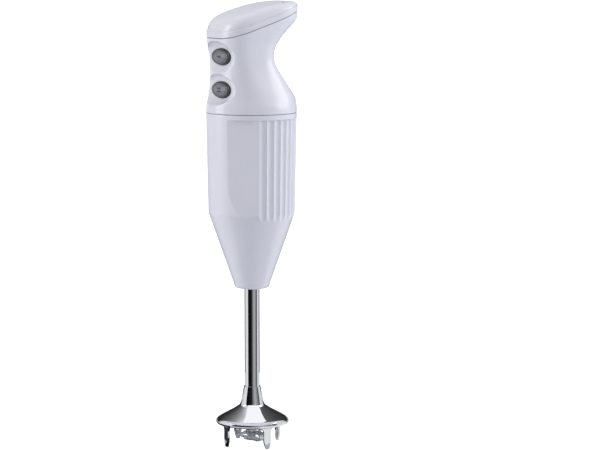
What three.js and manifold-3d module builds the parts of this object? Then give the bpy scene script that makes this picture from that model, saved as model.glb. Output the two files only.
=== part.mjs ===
// A mains hand blender that stands on the four prongs of its blade guard: a two-piece moulded
// housing round a universal motor, a long drive shaft in a steel tube, and a push-fit cutter.
// Millimetres, +Z up, origin on the drive axis in the plane of the prong tips, buttons towards -Y.

import * as THREE from 'three';
import { mergeVertices } from 'three/addons/utils/BufferGeometryUtils.js';
import Module from 'manifold-3d';

const wasm = await Module();
wasm.setup();

// ---------------------------------------------------------------- driving dimensions

const WALL = 2.4; // moulded wall of the handle and cover
const FIT = 0.12; // clearance of a fixed piece in its seat
const RUN = 0.12; // radial clearance round the turning shafts

const GUARD_RIM_RADIUS = 28.2;
const GUARD_RIM_Z = 17; // lower edge of the guard's bell
const GUARD_TOP_Z = 45.6; // top of the guard's neck
const PRONG_RADIUS = 22.5; // middle of a prong's thickness
const PRONG_THICKNESS = 1.8;

const TUBE_RADIUS = 5.85;
const TUBE_BORE = 4.9;
const SHAFT_RADIUS = 3;

const NOSE_Z = 122; // underside of the barrel
const SHOULDER_Z = 180; // where the cone meets the barrel
const COLLAR_Z = 256; // top of the barrel
const NOSE_RADIUS = 13.5;
const SHOULDER_RADIUS = 33;
const COLLAR_RADIUS = 34.5;
const RIM_BAND = 3.5; // plain ring left above the flutes and panels
const BARREL_WALL = 3.1;

const FLUTE_PITCH = 10; // degrees
const FLUTE_START = -20; // degrees from +X: the first ridge behind the right-hand panel
const FLUTE_DEPTH = 1.4;
const PANEL_START = -62; // degrees from +X: the panel's front edge where it is widest
const PANEL_TOP_Z = 204.5; // below this the panel's front edge curves back to the flutes
const PANEL_TIP_Z = 175.4;

const SEAM_Z = 323; // cover seam on the drive axis
const SEAM_SLOPE = 0.331; // rise of the seam towards the back
const SEAM_GAP = 0.5;
const COVER_BAND = 4.8; // upright edge of the cover
const COVER_SPREAD = 3; // exponent of the cover's squared-off oval

const BUTTON_HALF_WIDTH = 14;
const BUTTON_HALF_HEIGHT = 6.1;
const BUTTON_FACE_Y = -28.4;
const DISH_FLOOR_Y = -25.3; // bottom of the recess round each button
const BUTTON_HEIGHTS = { button_speed_1: 299, button_speed_2: 274.2 };
const POCKET_Y = -23.5; // flat inside face of the handle behind the buttons
const BOARD_Y = -11.5; // front face of the switch board

const GLAND_Z = 331.3;
const SCREW_X = 16; // the two cover screws
const SCREW_Y = 19;

const STACK_BOTTOM_Z = 190;
const STACK_TOP_Z = 222;
const STATOR_RADIUS = 28;
const STATOR_BORE = 16;
const ARMATURE_RADIUS = 15.2;
const BOLT_X = 25.2;
const COMMUTATOR_RADIUS = 9;
const COMMUTATOR_Z = 231.5;
const BRUSH_Z = 236.7;

const CUTTER_TURN = 10; // degrees: the rest position of the cutter
const SHEET = 1; // thickness of the cutter's steel

// ---------------------------------------------------------------- materials

function material(color, roughness, metalness) {
  return new THREE.MeshStandardMaterial({ color, roughness, metalness });
}

const whiteShell = material('#e6e6ec', 0.3, 0);
const whiteInner = material('#dedee2', 0.5, 0);
const greyButton = material('#4c4f54', 0.5, 0);
const blackRubber = material('#26272a', 0.8, 0);
const greyRubber = material('#8e9096', 0.7, 0);
const chrome = material('#d8dade', 0.08, 1);
const steel = material('#b4b7bb', 0.3, 1);
const lamination = material('#7d8084', 0.5, 1);
const copper = material('#b3653a', 0.35, 1);
const bronze = material('#a9814a', 0.4, 1);
const brass = material('#c2a35a', 0.35, 1);
const carbon = material('#2b2b2d', 0.7, 0);
const boardGreen = material('#2f6b46', 0.6, 0);
const switchBlack = material('#1d1e20', 0.5, 0);
const motorPlastic = material('#3a3d42', 0.6, 0);
const capacitorBlue = material('#3f6fae', 0.5, 0);
const leadBrown = material('#6b4226', 0.6, 0);
const leadBlue = material('#2e5fa8', 0.6, 0);

// ---------------------------------------------------------------- solids

function degrees(angle) {
  return THREE.MathUtils.degToRad(angle);
}

// A manifold-3d solid from a closed three.js geometry.
function solid(geometry) {
  const bare = geometry.index ? geometry.toNonIndexed() : geometry.clone();
  for (const name of Object.keys(bare.attributes)) {
    if (name !== 'position') bare.deleteAttribute(name);
  }
  const merged = mergeVertices(bare, 1e-4);
  const mesh = new wasm.Mesh({
    numProp: 3,
    vertProperties: merged.attributes.position.array,
    triVerts: new Uint32Array(merged.index.array),
  });
  return new wasm.Manifold(mesh);
}

function geometryOf(body) {
  const mesh = body.getMesh();
  const points = new Float32Array(mesh.numVert * 3);
  for (let i = 0; i < mesh.numVert; i++) {
    points.set(mesh.vertProperties.subarray(i * mesh.numProp, i * mesh.numProp + 3), i * 3);
  }
  const geometry = new THREE.BufferGeometry();
  geometry.setAttribute('position', new THREE.BufferAttribute(points, 3));
  geometry.setIndex(new THREE.BufferAttribute(mesh.triVerts, 1));
  return geometry;
}

function join(...geometries) {
  return geometryOf(geometries.map(solid).reduce((whole, piece) => whole.add(piece)));
}

function cut(base, ...tools) {
  return geometryOf(tools.map(solid).reduce((whole, tool) => whole.subtract(tool), solid(base)));
}

function keep(base, region) {
  return geometryOf(solid(base).intersect(solid(region)));
}

// A solid of revolution about Z; profile is a list of [radius, z] going up the outside.
function lathe(profile, segments = 24) {
  const points = profile.map(([radius, z]) => new THREE.Vector2(radius, z));
  return new THREE.LatheGeometry(points, segments).rotateX(Math.PI / 2);
}

function rod(radius, bottom, top, segments = 20) {
  return new THREE.CylinderGeometry(radius, radius, top - bottom, segments)
    .rotateX(Math.PI / 2)
    .translate(0, 0, (bottom + top) / 2);
}

// A round washer or sleeve about Z.
function sleeve(inner, outer, bottom, top, segments = 24) {
  return lathe([[inner, bottom], [outer, bottom], [outer, top], [inner, top], [inner, bottom]], segments);
}

// A box given by its lowest and highest corner.
function block([x0, y0, z0], [x1, y1, z1]) {
  return new THREE.BoxGeometry(x1 - x0, y1 - y0, z1 - z0)
    .translate((x0 + x1) / 2, (y0 + y1) / 2, (z0 + z1) / 2);
}

function shapeOf(corners) {
  return new THREE.Shape(corners.map(([x, y]) => new THREE.Vector2(x, y)));
}

function plate(shape, bottom, top, curveSegments = 8) {
  return new THREE.ExtrudeGeometry(shape, { depth: top - bottom, bevelEnabled: false, curveSegments })
    .translate(0, 0, bottom);
}

// A round wire or lead of the given radius along a smooth curve through the points.
function wire(points, radius, sides, steps) {
  const stops = points.map((p) => new THREE.Vector3(...p));
  const path = new THREE.CatmullRomCurve3(stops, false, 'centripetal');
  const section = new THREE.Shape();
  for (let i = 0; i < sides; i++) {
    const angle = (i / sides) * 2 * Math.PI;
    const [x, y] = [radius * Math.cos(angle), radius * Math.sin(angle)];
    if (i === 0) section.moveTo(x, y);
    else section.lineTo(x, y);
  }
  return new THREE.ExtrudeGeometry(section, { steps, extrudePath: path, bevelEnabled: false });
}

// A coil spring along +Y, starting at the origin.
function coilSpring(coilRadius, wireRadius, length, turns) {
  const points = [];
  const perTurn = 6;
  for (let i = 0; i <= turns * perTurn; i++) {
    const angle = (i / perTurn) * 2 * Math.PI;
    const y = wireRadius + (i / (turns * perTurn)) * (length - 2 * wireRadius);
    points.push([coilRadius * Math.cos(angle), y, coilRadius * Math.sin(angle)]);
  }
  return wire(points, wireRadius, 4, turns * 8);
}

// A closed skin over stacked outlines: a unit cylinder whose rings are moved to the points that
// at(angle, ring) gives, with flat ends.
function loft(rings, around, at) {
  const skin = new THREE.CylinderGeometry(1, 1, 1, around, rings - 1);
  const points = skin.getAttribute('position');
  for (let i = 0; i < points.count; i++) {
    const ring = Math.round((points.getY(i) + 0.5) * (rings - 1));
    const onAxis = Math.hypot(points.getX(i), points.getZ(i)) < 0.5;
    const turn = Math.atan2(-points.getZ(i), points.getX(i)) / (2 * Math.PI);
    const angle = (((Math.round(turn * around) + around) % around) / around) * 2 * Math.PI;
    const place = at(onAxis ? 0 : angle, ring);
    if (onAxis) place.add(at(Math.PI, ring)).multiplyScalar(0.5);
    points.setXYZ(i, place.x, place.y, place.z);
  }
  return skin;
}

// A squared-off oval: half width a, from y = front to y = back, exponent n (2 is an ellipse).
function oval(angle, a, front, back, n) {
  const [c, s] = [Math.cos(angle), Math.sin(angle)];
  const x = a * Math.sign(c) * Math.abs(c) ** (2 / n);
  const y = (front + back) / 2 + ((back - front) / 2) * Math.sign(s) * Math.abs(s) ** (2 / n);
  return [x, y];
}

// A smooth value between [height, value] knots.
function curve(knots) {
  const heights = knots.map((knot) => knot[0]);
  const values = knots.map((knot) => knot[1]);
  const track = new THREE.CubicInterpolant(heights, values, 1);
  return (z) => track.evaluate(z)[0];
}

// ---------------------------------------------------------------- assembly

const blender = new THREE.Group();
const cutterGroup = new THREE.Group();
cutterGroup.rotation.z = degrees(CUTTER_TURN);
blender.add(cutterGroup);

function add(name, geometry, finish, group = blender) {
  const mesh = new THREE.Mesh(geometry, finish);
  mesh.name = name;
  group.add(mesh);
  return mesh;
}

// ---------------------------------------------------------------- handle

const handleFront = curve([
  [256.8, -34.5], [262, -34.2], [268, -32.5], [275, -30.7], [283, -29.4], [296, -29.1],
  [306, -30.6], [316, -32], [326, -32.3], [345, -32.3],
]);
const handleBack = curve([
  [256.8, 34.5], [262, 34.3], [268, 32.5], [275, 27], [282.3, 21.1], [290.4, 15.2], [296, 12.4],
  [300.5, 12.1], [306.6, 13.7], [311.3, 16.9], [317.3, 22.4], [323.4, 29.4], [327.6, 32.8],
  [333, 33.6], [345, 33.6],
]);
const handleHalfWidth = curve([
  [256.8, 34.5], [262, 34.1], [268, 32.2], [275, 29.8], [283, 27.2], [291, 25.4], [298, 25],
  [307, 25.3], [317, 26.4], [327, 27], [345, 27],
]);
const handleSpread = curve([
  [256.8, 2], [262, 2], [268, 2.15], [275, 2.4], [283, 2.7], [291, 3], [345, COVER_SPREAD],
]);

// A point of the handle's outside, or of a skin the given depth inside it.
function handlePoint(angle, z, depth = 0) {
  const a = handleHalfWidth(z) - depth;
  const [x, y] = oval(angle, a, handleFront(z) + depth, handleBack(z) - depth, handleSpread(z));
  return new THREE.Vector3(x, y, z);
}

function seamHeight(y) {
  return SEAM_Z + SEAM_SLOPE * y;
}

// Everything above or below the sloping seam, moved by the given offset in z.
function aboveSeam(offset) {
  const reach = 60;
  const corners = [
    [-reach, seamHeight(-reach) + offset], [reach, seamHeight(reach) + offset],
    [reach, 400], [-reach, 400],
  ];
  return plate(shapeOf(corners), -reach, reach).rotateZ(Math.PI / 2).rotateY(Math.PI / 2);
}

// The handle's outline where it meets the sloping seam, the given depth inside it.
function seamPoint(angle, depth) {
  let p = handlePoint(angle, SEAM_Z, depth);
  for (let i = 0; i < 8; i++) p = handlePoint(angle, seamHeight(p.y), depth);
  return p;
}

// An upright sleeve of the seam's outline, the given depth inside it, between two offsets from
// the seam.
function seamSkin(depth, low, high) {
  return loft(2, 40, (angle, ring) => {
    const p = seamPoint(angle, depth);
    p.z = seamHeight(p.y) + (ring === 0 ? low : high);
    return p;
  });
}

// How far forward the handle's front face lies at x and z.
function frontFace(x, z) {
  const [front, back, n] = [handleFront(z), handleBack(z), handleSpread(z)];
  const fall = (1 - Math.abs(x / handleHalfWidth(z)) ** n) ** (1 / n);
  return (front + back) / 2 - ((back - front) / 2) * fall;
}

// The dished recess round one button: an oval of the front face pressed in down to the floor.
function buttonDish(z) {
  const [halfWidth, halfHeight] = [20.5, 12];
  const shares = [1, 1, 0.92, 0.7, 0.3];
  return loft(shares.length, 20, (angle, ring) => {
    const share = shares[ring];
    const x = halfWidth * share * Math.cos(angle);
    const h = z - halfHeight * share * Math.sin(angle);
    const face = frontFace(x, h);
    const fall = Math.max(0, DISH_FLOOR_Y - face) * Math.sqrt(1 - share ** 4);
    const y = ring === 0 ? -40 : face + (ring === 1 ? -0.3 : fall);
    return new THREE.Vector3(x, y, h);
  });
}

// A button's oval outline as a bar along Y.
function buttonBar(halfWidth, halfHeight, front, back, z) {
  const outline = new THREE.Shape();
  outline.absellipse(0, 0, halfWidth, halfHeight, 0, 2 * Math.PI);
  return plate(outline, 0, back - front, 12).rotateX(Math.PI / 2).translate(0, back, z);
}

function handleShell() {
  const outerHeights = [COLLAR_Z + 0.8, 262, 268, 275, 283, 292, 300.5, 311.3, 317.3, 323.4, 328.5, 345];
  const outside = loft(outerHeights.length, 40, (angle, ring) => handlePoint(angle, outerHeights[ring]));
  const innerHeights = [COLLAR_Z, 262, 270, 282, 296, 308, 317.3, 326, 345];
  const inside = loft(innerHeights.length, 28, (angle, ring) => {
    const p = handlePoint(angle, innerHeights[ring], WALL);
    p.y = Math.max(p.y, POCKET_Y);
    return p;
  });
  const spigot = lathe([
    [29.2, 249], [30.9, 249], [30.9, COLLAR_Z + 1], [33, COLLAR_Z + 1], [33, 260], [29.2, 260], [29.2, 249],
  ], 28);
  const boss = (x) => keep(
    rod(3.6, 300, 335, 12).translate(x, SCREW_Y, 0),
    outside,
  );
  const body = join(cut(outside, inside), spigot, boss(SCREW_X), boss(-SCREW_X));
  const screwHole = (x) => rod(1.5 + FIT, 319, 340, 8).translate(x, SCREW_Y, 0);
  const buttonHoles = Object.values(BUTTON_HEIGHTS).flatMap((z) => [
    buttonDish(z),
    buttonBar(BUTTON_HALF_WIDTH + 0.35, BUTTON_HALF_HEIGHT + 0.35, -40, POCKET_Y + 3, z),
  ]);
  return cut(
    body, aboveSeam(0), seamSkin(1.2, -1.2, 1), screwHole(SCREW_X), screwHole(-SCREW_X), glandHole(),
    ...buttonHoles,
  );
}

function coverSeal() {
  return cut(seamSkin(1.35, -1.05, 0.3), seamSkin(2.5, -2, 2), glandHole());
}

// ---------------------------------------------------------------- cover

// Height of the cover's top above its band, at y and at the share rho of the way out to the edge:
// a crown that falls away towards the back, rounded over at the edge.
function topRise(y, rho) {
  const crown = 7.9 - 0.08 * y - 0.0024 * y ** 2;
  return crown * Math.sqrt(Math.max(0, 1 - rho ** 9));
}

function coverSkin(depth, drop, lowest) {
  const shares = depth ? [1, 1, 0.95, 0.85, 0.6] : [1, 1, 0.99, 0.96, 0.91, 0.82, 0.5];
  return loft(shares.length, depth ? 28 : 40, (angle, ring) => {
    const edge = seamPoint(angle, depth);
    const middle = (seamPoint(-Math.PI / 2, 0).y + seamPoint(Math.PI / 2, 0).y) / 2;
    const share = shares[ring];
    const x = edge.x * share;
    const y = middle + (edge.y - middle) * share;
    const rise = ring === 0 ? lowest : COVER_BAND - drop + topRise(y, share);
    return new THREE.Vector3(x, y, seamHeight(y) + rise);
  });
}

function topCover() {
  const outside = coverSkin(0, 0, SEAM_GAP);
  const inside = coverSkin(WALL, WALL, -1);
  const post = (x) => keep(rod(4.6, 325, 345, 12).translate(x, SCREW_Y, 0), outside);
  const floor = seamHeight(SCREW_Y) + 3;
  const screwHole = (x) => join(
    rod(1.5 + FIT, 320, 345, 8),
    rod(2.9, floor, 346, 16),
  ).translate(x, SCREW_Y, 0);
  const shell = join(cut(outside, inside), post(SCREW_X), post(-SCREW_X));
  return cut(shell, screwHole(SCREW_X), screwHole(-SCREW_X), glandHole());
}

function coverScrew() {
  const head = seamHeight(SCREW_Y) + 3.1;
  const body = join(rod(1.5, head - 12, head + 0.1, 8), rod(2.5, head, head + 1.8, 16));
  const slot = (turn) => new THREE.BoxGeometry(3.4, 0.8, 1.4).rotateZ(turn).translate(0, 0, head + 1.8);
  return cut(body, slot(0), slot(Math.PI / 2));
}

// A round hole through the back wall, across the seam of handle and cover.
function glandHole() {
  return rod(4.1, 26, 36, 16).rotateX(-Math.PI / 2).translate(0, 0, GLAND_Z);
}

// The rubber bush that the mains lead passes through.
function cordGland() {
  const profile = [
    [3.2, 27.4], [4.6, 27.4], [4.6, 28.8], [3.9, 28.8], [3.9, 34.4], [3.2, 34.4], [3.2, 27.4],
  ];
  return lathe(profile, 16).rotateX(-Math.PI / 2).translate(0, 0, GLAND_Z);
}

// ---------------------------------------------------------------- barrel

const conePitch = (SHOULDER_RADIUS - NOSE_RADIUS) / (SHOULDER_Z - NOSE_Z - 2.6);

function barrelWallRadius(z) {
  return SHOULDER_RADIUS + ((COLLAR_RADIUS - SHOULDER_RADIUS) * (z - SHOULDER_Z)) / (COLLAR_Z - SHOULDER_Z);
}

function barrelPlainRadius(z) {
  return Math.min(barrelWallRadius(z), SHOULDER_RADIUS - (SHOULDER_Z - z) * conePitch);
}

// The panel's front edge, in degrees from +X.
function panelEdge(z) {
  if (z >= PANEL_TOP_Z) return PANEL_START;
  const share = Math.min(1, (PANEL_TOP_Z - z) / (PANEL_TOP_Z - PANEL_TIP_Z));
  return PANEL_START + (FLUTE_START - PANEL_START) * (1 - Math.sqrt(1 - share * share));
}

// The barrel's outside radius: plain round in front, a flat panel on each side, flutes behind.
function barrelRadius(angle, z) {
  const plain = barrelPlainRadius(z);
  if (z > COLLAR_Z - RIM_BAND || z < PANEL_TIP_Z - 2) return plain;
  // Both sides are alike, so angles are folded to the +X side, from -90 at the front to 90 behind.
  const side = THREE.MathUtils.radToDeg(Math.asin(THREE.MathUtils.clamp(Math.sin(angle), -1, 1)));
  if (side > FLUTE_START) {
    const share = (side - FLUTE_START) / FLUTE_PITCH;
    const across = 2 * (share - Math.floor(share + 1e-6)) - 1;
    return Math.min(plain, barrelWallRadius(z) - FLUTE_DEPTH * (1 - across * across));
  }
  const edge = panelEdge(z);
  if (side < edge) return plain;
  const middle = (edge + FLUTE_START) / 2;
  return (plain * Math.cos(degrees(FLUTE_START - middle))) / Math.cos(degrees(side - middle));
}

function barrelShell() {
  const top = COLLAR_Z - RIM_BAND;
  const heights = [
    NOSE_Z, NOSE_Z + 0.8, NOSE_Z + 2.6, 174, 177, SHOULDER_Z,
    189, PANEL_TOP_Z, top - 0.1, top + 0.1, COLLAR_Z,
  ];
  const noseEdge = [11.4, 12.9];
  const outside = loft(heights.length, 72, (angle, ring) => {
    const z = heights[ring];
    const radius = ring < noseEdge.length ? noseEdge[ring] : barrelRadius(angle, z);
    return new THREE.Vector3(radius * Math.cos(angle), radius * Math.sin(angle), z);
  });
  const floor = 136;
  const inside = lathe([
    [0, floor], [barrelPlainRadius(floor) - BARREL_WALL, floor],
    [SHOULDER_RADIUS - BARREL_WALL, SHOULDER_Z],
    [COLLAR_RADIUS - BARREL_WALL, COLLAR_Z + 1], [0, COLLAR_Z + 1],
  ], 32);
  return cut(outside, inside, rod(TUBE_RADIUS + FIT, 120, 138, 24), rod(9.8, 120, 126.2, 24));
}

function collarSeal() {
  return sleeve(31.2, 33.6, COLLAR_Z + 0.15, COLLAR_Z + 0.65, 36);
}

function noseRing() {
  const profile = [
    [TUBE_RADIUS + FIT, NOSE_Z + 0.3], [7.2, NOSE_Z - 0.4], [8.9, NOSE_Z - 0.4], [9.6, NOSE_Z + 0.3],
    [9.6, 126], [TUBE_RADIUS + FIT, 126], [TUBE_RADIUS + FIT, NOSE_Z + 0.3],
  ];
  return lathe(profile);
}

// ---------------------------------------------------------------- buttons and switch board

// One oval button: a crowned face, a neck through the handle's wall, a flange behind it, and as
// many raised speed bars as the speed it gives.
function button(bars) {
  const [faceY, neckY, flangeY, backY] = [BUTTON_FACE_Y, -26.3, POCKET_Y + 0.3, POCKET_Y + 1.6];
  const crown = new THREE.SphereGeometry(1, 24, 14)
    .scale(BUTTON_HALF_WIDTH * 1.74, -faceY + neckY + 3.6, BUTTON_HALF_HEIGHT * 1.74)
    .translate(0, neckY + 3.6, 0);
  const neck = buttonBar(BUTTON_HALF_WIDTH, BUTTON_HALF_HEIGHT, faceY - 1, flangeY + 0.1, 0);
  const flange = buttonBar(BUTTON_HALF_WIDTH + 1, BUTTON_HALF_HEIGHT + 1, flangeY, backY, 0);
  const reach = keep(neck, join(crown, block([-20, neckY + 1, -10], [20, 0, 10])));
  const marks = Array.from({ length: bars }, (_, i) => {
    const z = (i - (bars - 1) / 2) * 2.4;
    return block([-2.6, faceY - 0.25, z - 0.45], [2.6, faceY + 1, z + 0.45]);
  });
  return join(reach, flange, ...marks);
}

// The inside frame that guides both button flanges.
function buttonFrame() {
  const outline = shapeOf([[-16.6, 262.5], [16.6, 262.5], [16.6, 308.5], [-16.6, 308.5]]);
  for (const z of Object.values(BUTTON_HEIGHTS)) {
    const hole = new THREE.Path();
    hole.absellipse(0, z, BUTTON_HALF_WIDTH + 1.3, BUTTON_HALF_HEIGHT + 1.3, 0, 2 * Math.PI, true);
    outline.holes.push(hole);
  }
  const back = POCKET_Y + 3.4;
  return plate(outline, 0, 2.8, 12).rotateX(Math.PI / 2).translate(0, back, 0);
}

function switchBoard() {
  const board = block([-17, BOARD_Y, 264], [17, BOARD_Y + 1.6, 308]);
  const hole = (z) => rod(1.4 + FIT, 0, 6, 8).rotateX(-Math.PI / 2).translate(14, BOARD_Y - 2, z);
  return cut(board, hole(267), hole(305));
}

function boardScrew() {
  const body = join(rod(1.4, 0, 6, 8), rod(2.6, -1.6, 0.05, 12));
  return body.rotateX(Math.PI / 2).translate(0, BOARD_Y - 0.1 + 1.6 + 0.2, 0);
}

function microswitch() {
  const front = BOARD_Y - 6.9;
  const body = block([-2.9, front, -6.4], [2.9, BOARD_Y - 0.1, 6.4]);
  const plunger = block([-1, front - 1.3, -1.6], [1, front + 0.1, 1.6]);
  return join(body, plunger);
}

function buttonSpring() {
  const [front, back] = [POCKET_Y + 1.8, BOARD_Y - 0.2];
  return coilSpring(3, 0.45, back - front, 4).translate(0, front, 0);
}

function capacitor() {
  return block([-9, BOARD_Y + 1.8, 268], [9, BOARD_Y + 9.6, 280]);
}

function terminalBlock() {
  const body = block([-9, BOARD_Y + 1.8, 291], [9, BOARD_Y + 11, 300]);
  const entry = (x) => rod(1.7, 0, 12, 8).translate(x, BOARD_Y + 7.6, 295);
  return cut(body, entry(-4.6), entry(4.6));
}

function motorLead(side) {
  return wire([
    [side * 6, BOARD_Y + 2.7, 265.4], [side * 9, -4, 262], [side * 16, 3, 258.6],
    [side * 18, side * 10, 251.6], [side * 12, side * 17, 244.6], [side * 5.6, side * 17.4, 240],
  ], 0.8, 5, 14);
}

// ---------------------------------------------------------------- motor

function statorCore() {
  const shape = new THREE.Shape();
  const flat = 24.6;
  const corner = Math.asin(flat / STATOR_RADIUS);
  shape.absarc(0, 0, STATOR_RADIUS, -corner, corner, false);
  shape.absarc(0, 0, STATOR_RADIUS, Math.PI - corner, Math.PI + corner, false);
  const side = [[22, 10], [19.6, 18.4], [10.5, 19.4], [10.5, 14], [13.4, 11.6], [14.8, 8.8]];
  const window = new THREE.Path();
  window.moveTo(22, -10);
  for (const [x, y] of side) window.lineTo(x, y);
  window.absarc(0, 0, STATOR_BORE, degrees(30), degrees(150), false);
  for (const [x, y] of [...side].reverse()) window.lineTo(-x, y);
  for (const [x, y] of side) window.lineTo(-x, -y);
  window.absarc(0, 0, STATOR_BORE, degrees(210), degrees(330), false);
  for (const [x, y] of [...side].reverse()) window.lineTo(x, -y);
  shape.holes.push(window);
  for (const x of [BOLT_X, -BOLT_X]) {
    const hole = new THREE.Path();
    hole.absarc(x, 0, 1.7, 0, 2 * Math.PI, true);
    shape.holes.push(hole);
  }
  return plate(shape, STACK_BOTTOM_Z, STACK_TOP_Z, 9);
}

// A field coil wound round one pole: a flat frame across Y that loops over both ends of the stack.
function fieldCoil() {
  const [halfWidth, over] = [19, 6.6];
  const outer = shapeOf([
    [-halfWidth + 3, STACK_BOTTOM_Z - over], [halfWidth - 3, STACK_BOTTOM_Z - over],
    [halfWidth, STACK_BOTTOM_Z - over + 3], [halfWidth, STACK_TOP_Z + over - 3],
    [halfWidth - 3, STACK_TOP_Z + over], [-halfWidth + 3, STACK_TOP_Z + over],
    [-halfWidth, STACK_TOP_Z + over - 3], [-halfWidth, STACK_BOTTOM_Z - over + 3],
  ]);
  const hole = new THREE.Path([
    new THREE.Vector2(-11, STACK_BOTTOM_Z - 0.4), new THREE.Vector2(-11, STACK_TOP_Z + 0.4),
    new THREE.Vector2(11, STACK_TOP_Z + 0.4), new THREE.Vector2(11, STACK_BOTTOM_Z - 0.4),
  ]);
  outer.holes.push(hole);
  return plate(outer, 0, 3.6).rotateX(Math.PI / 2).translate(0, 18.2, 0);
}

// The end frames: a bar across X with a bearing seat, on two legs that stand on the stack.
function motorFrameTop() {
  const leg = (s) => block([s * 24.7 - 2.9, -6, STACK_TOP_Z + 0.2], [s * 24.7 + 2.9, 6, 250]);
  const bar = block([-27.6, -6, 244.5], [27.6, 6, 250]);
  const arm = block([-5, -23, 243.2], [5, 23, 247]);
  const hub = rod(10.4, 243.2, 253.4, 24);
  const seat = rod(8 + FIT, 246.6, 254, 24);
  const way = rod(4.4, 240, 250, 16);
  const bolt = (s) => rod(1.7, 220, 252, 8).translate(s * BOLT_X, 0, 0);
  return cut(join(leg(1), leg(-1), bar, arm, hub), seat, way, bolt(1), bolt(-1));
}

function motorFrameBottom() {
  const leg = (s) => block([s * 24.2 - 2.8, -6, 171.5], [s * 24.2 + 2.8, 6, STACK_BOTTOM_Z - 0.2]);
  const bar = block([-27, -6, 171.5], [27, 6, 177]);
  const hub = rod(10.4, 171.5, 180, 24);
  const seat = rod(8 + FIT, 173, 181, 24);
  const way = rod(4.4, 168, 175, 16);
  const bolt = (s) => rod(1.7, 168, 192, 8).translate(s * BOLT_X, 0, 0);
  const inside = rod(barrelPlainRadius(171.5) - BARREL_WALL - 0.3, 165, 192, 36);
  return keep(cut(join(leg(1), leg(-1), bar, hub), seat, way, bolt(1), bolt(-1)), inside);
}

function bearing() {
  return lathe([
    [SHAFT_RADIUS + RUN, 0], [8, 0], [8, 6], [6.4, 6], [5.8, 5.4], [SHAFT_RADIUS + RUN, 5.4],
    [SHAFT_RADIUS + RUN, 0],
  ], 20);
}

function motorBolt() {
  return join(rod(1.5, 172.6, 250.4, 8), rod(2.6, 250.3, 252.3, 6));
}

function brushHolder() {
  const box = block([-4.6, 11.2, BRUSH_Z - 5.4], [4.6, 23, BRUSH_Z + 5.8]);
  const channel = block([-3.2, 10, BRUSH_Z - 4.2], [3.2, 22, BRUSH_Z + 4.2]);
  return cut(box, channel);
}

function brush() {
  return block([-3, COMMUTATOR_RADIUS + 0.4, BRUSH_Z - 4], [3, 17.2, BRUSH_Z + 4]);
}

function brushSpring() {
  return coilSpring(2.2, 0.35, 4.2, 3).translate(0, 17.5, BRUSH_Z);
}

// ---------------------------------------------------------------- rotor

// A stack of round teeth: slots of the given width reach in from the outside to the slot bottom.
function slottedDisc(radius, slotBottom, slotWidth, count, bore, bottom, top) {
  const shape = new THREE.Shape();
  const half = slotWidth / 2;
  for (let i = 0; i < count; i++) {
    const axis = (i / count) * 2 * Math.PI;
    const outer = Math.asin(half / radius);
    const inner = Math.asin(half / slotBottom);
    const next = axis + (2 * Math.PI) / count - outer;
    const mouth = [[slotBottom, axis - inner], [slotBottom, axis + inner], [radius, axis + outer]];
    const tooth = [[radius, (axis + outer + next) / 2], [radius, next]];
    for (const [r, angle] of [...mouth, ...tooth]) {
      const [x, y] = [r * Math.cos(angle), r * Math.sin(angle)];
      if (shape.curves.length === 0 && shape.currentPoint.lengthSq() === 0) shape.moveTo(x, y);
      else shape.lineTo(x, y);
    }
  }
  const hole = new THREE.Path();
  hole.absarc(0, 0, bore, 0, 2 * Math.PI, true);
  shape.holes.push(hole);
  return plate(shape, bottom, top);
}

function armatureWinding() {
  const bars = Array.from({ length: 12 }, (_, i) => (
    block([9.3, -1.1, STACK_BOTTOM_Z - 1], [13.8, 1.1, STACK_TOP_Z + 1]).rotateZ((i / 12) * 2 * Math.PI)
  ));
  const bundle = (low, high) => lathe([
    [4.4, low], [12, low], [14, low + 1.6], [14, high - 1.6], [12, high], [4.4, high], [4.4, low],
  ], 18);
  const top = bundle(STACK_TOP_Z + 0.3, STACK_TOP_Z + 7);
  return join(bundle(STACK_BOTTOM_Z - 7, STACK_BOTTOM_Z - 0.3), top, ...bars);
}

function coolingFan() {
  const hub = rod(6, 159.5, 168.5, 20);
  const disc = rod(18.5, 167, 168.5, 24);
  const blades = Array.from({ length: 8 }, (_, i) => (
    block([5.5, -0.5, 161], [18, 0.5, 167.5]).rotateZ((i / 8) * 2 * Math.PI)
  ));
  return cut(join(hub, disc, ...blades), rod(SHAFT_RADIUS + FIT, 158, 170));
}

// One half of the jaw coupling, its two jaws pointing up from z = 0.
function couplingHalf(boreFrom, boreTo) {
  const hub = rod(8, -6, 0.1, 20);
  const jaw = (turn) => block([3.9, -1.7, 0], [7.4, 1.7, 5]).rotateZ(turn);
  return cut(join(hub, jaw(0), jaw(Math.PI)), rod(SHAFT_RADIUS + FIT, boreFrom, boreTo));
}

// The rubber star between the coupling's jaws.
function couplingStar() {
  const arm = (turn) => block([1, -1.2, 0.5], [7.2, 1.2, 4.9]).rotateZ(turn);
  const arms = [1, 3, 5, 7].map((eighth) => arm((eighth * Math.PI) / 4));
  return join(rod(2.1, 0.5, 4.9, 12), ...arms);
}

// ---------------------------------------------------------------- tube and guard

function shaftTube() {
  return sleeve(TUBE_BORE, TUBE_RADIUS, 33.5, 141.3);
}

function tubeNut() {
  return cut(rod(10.5, 136.3, 140.8, 6), rod(TUBE_RADIUS + FIT, 135, 142, 24));
}

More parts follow.
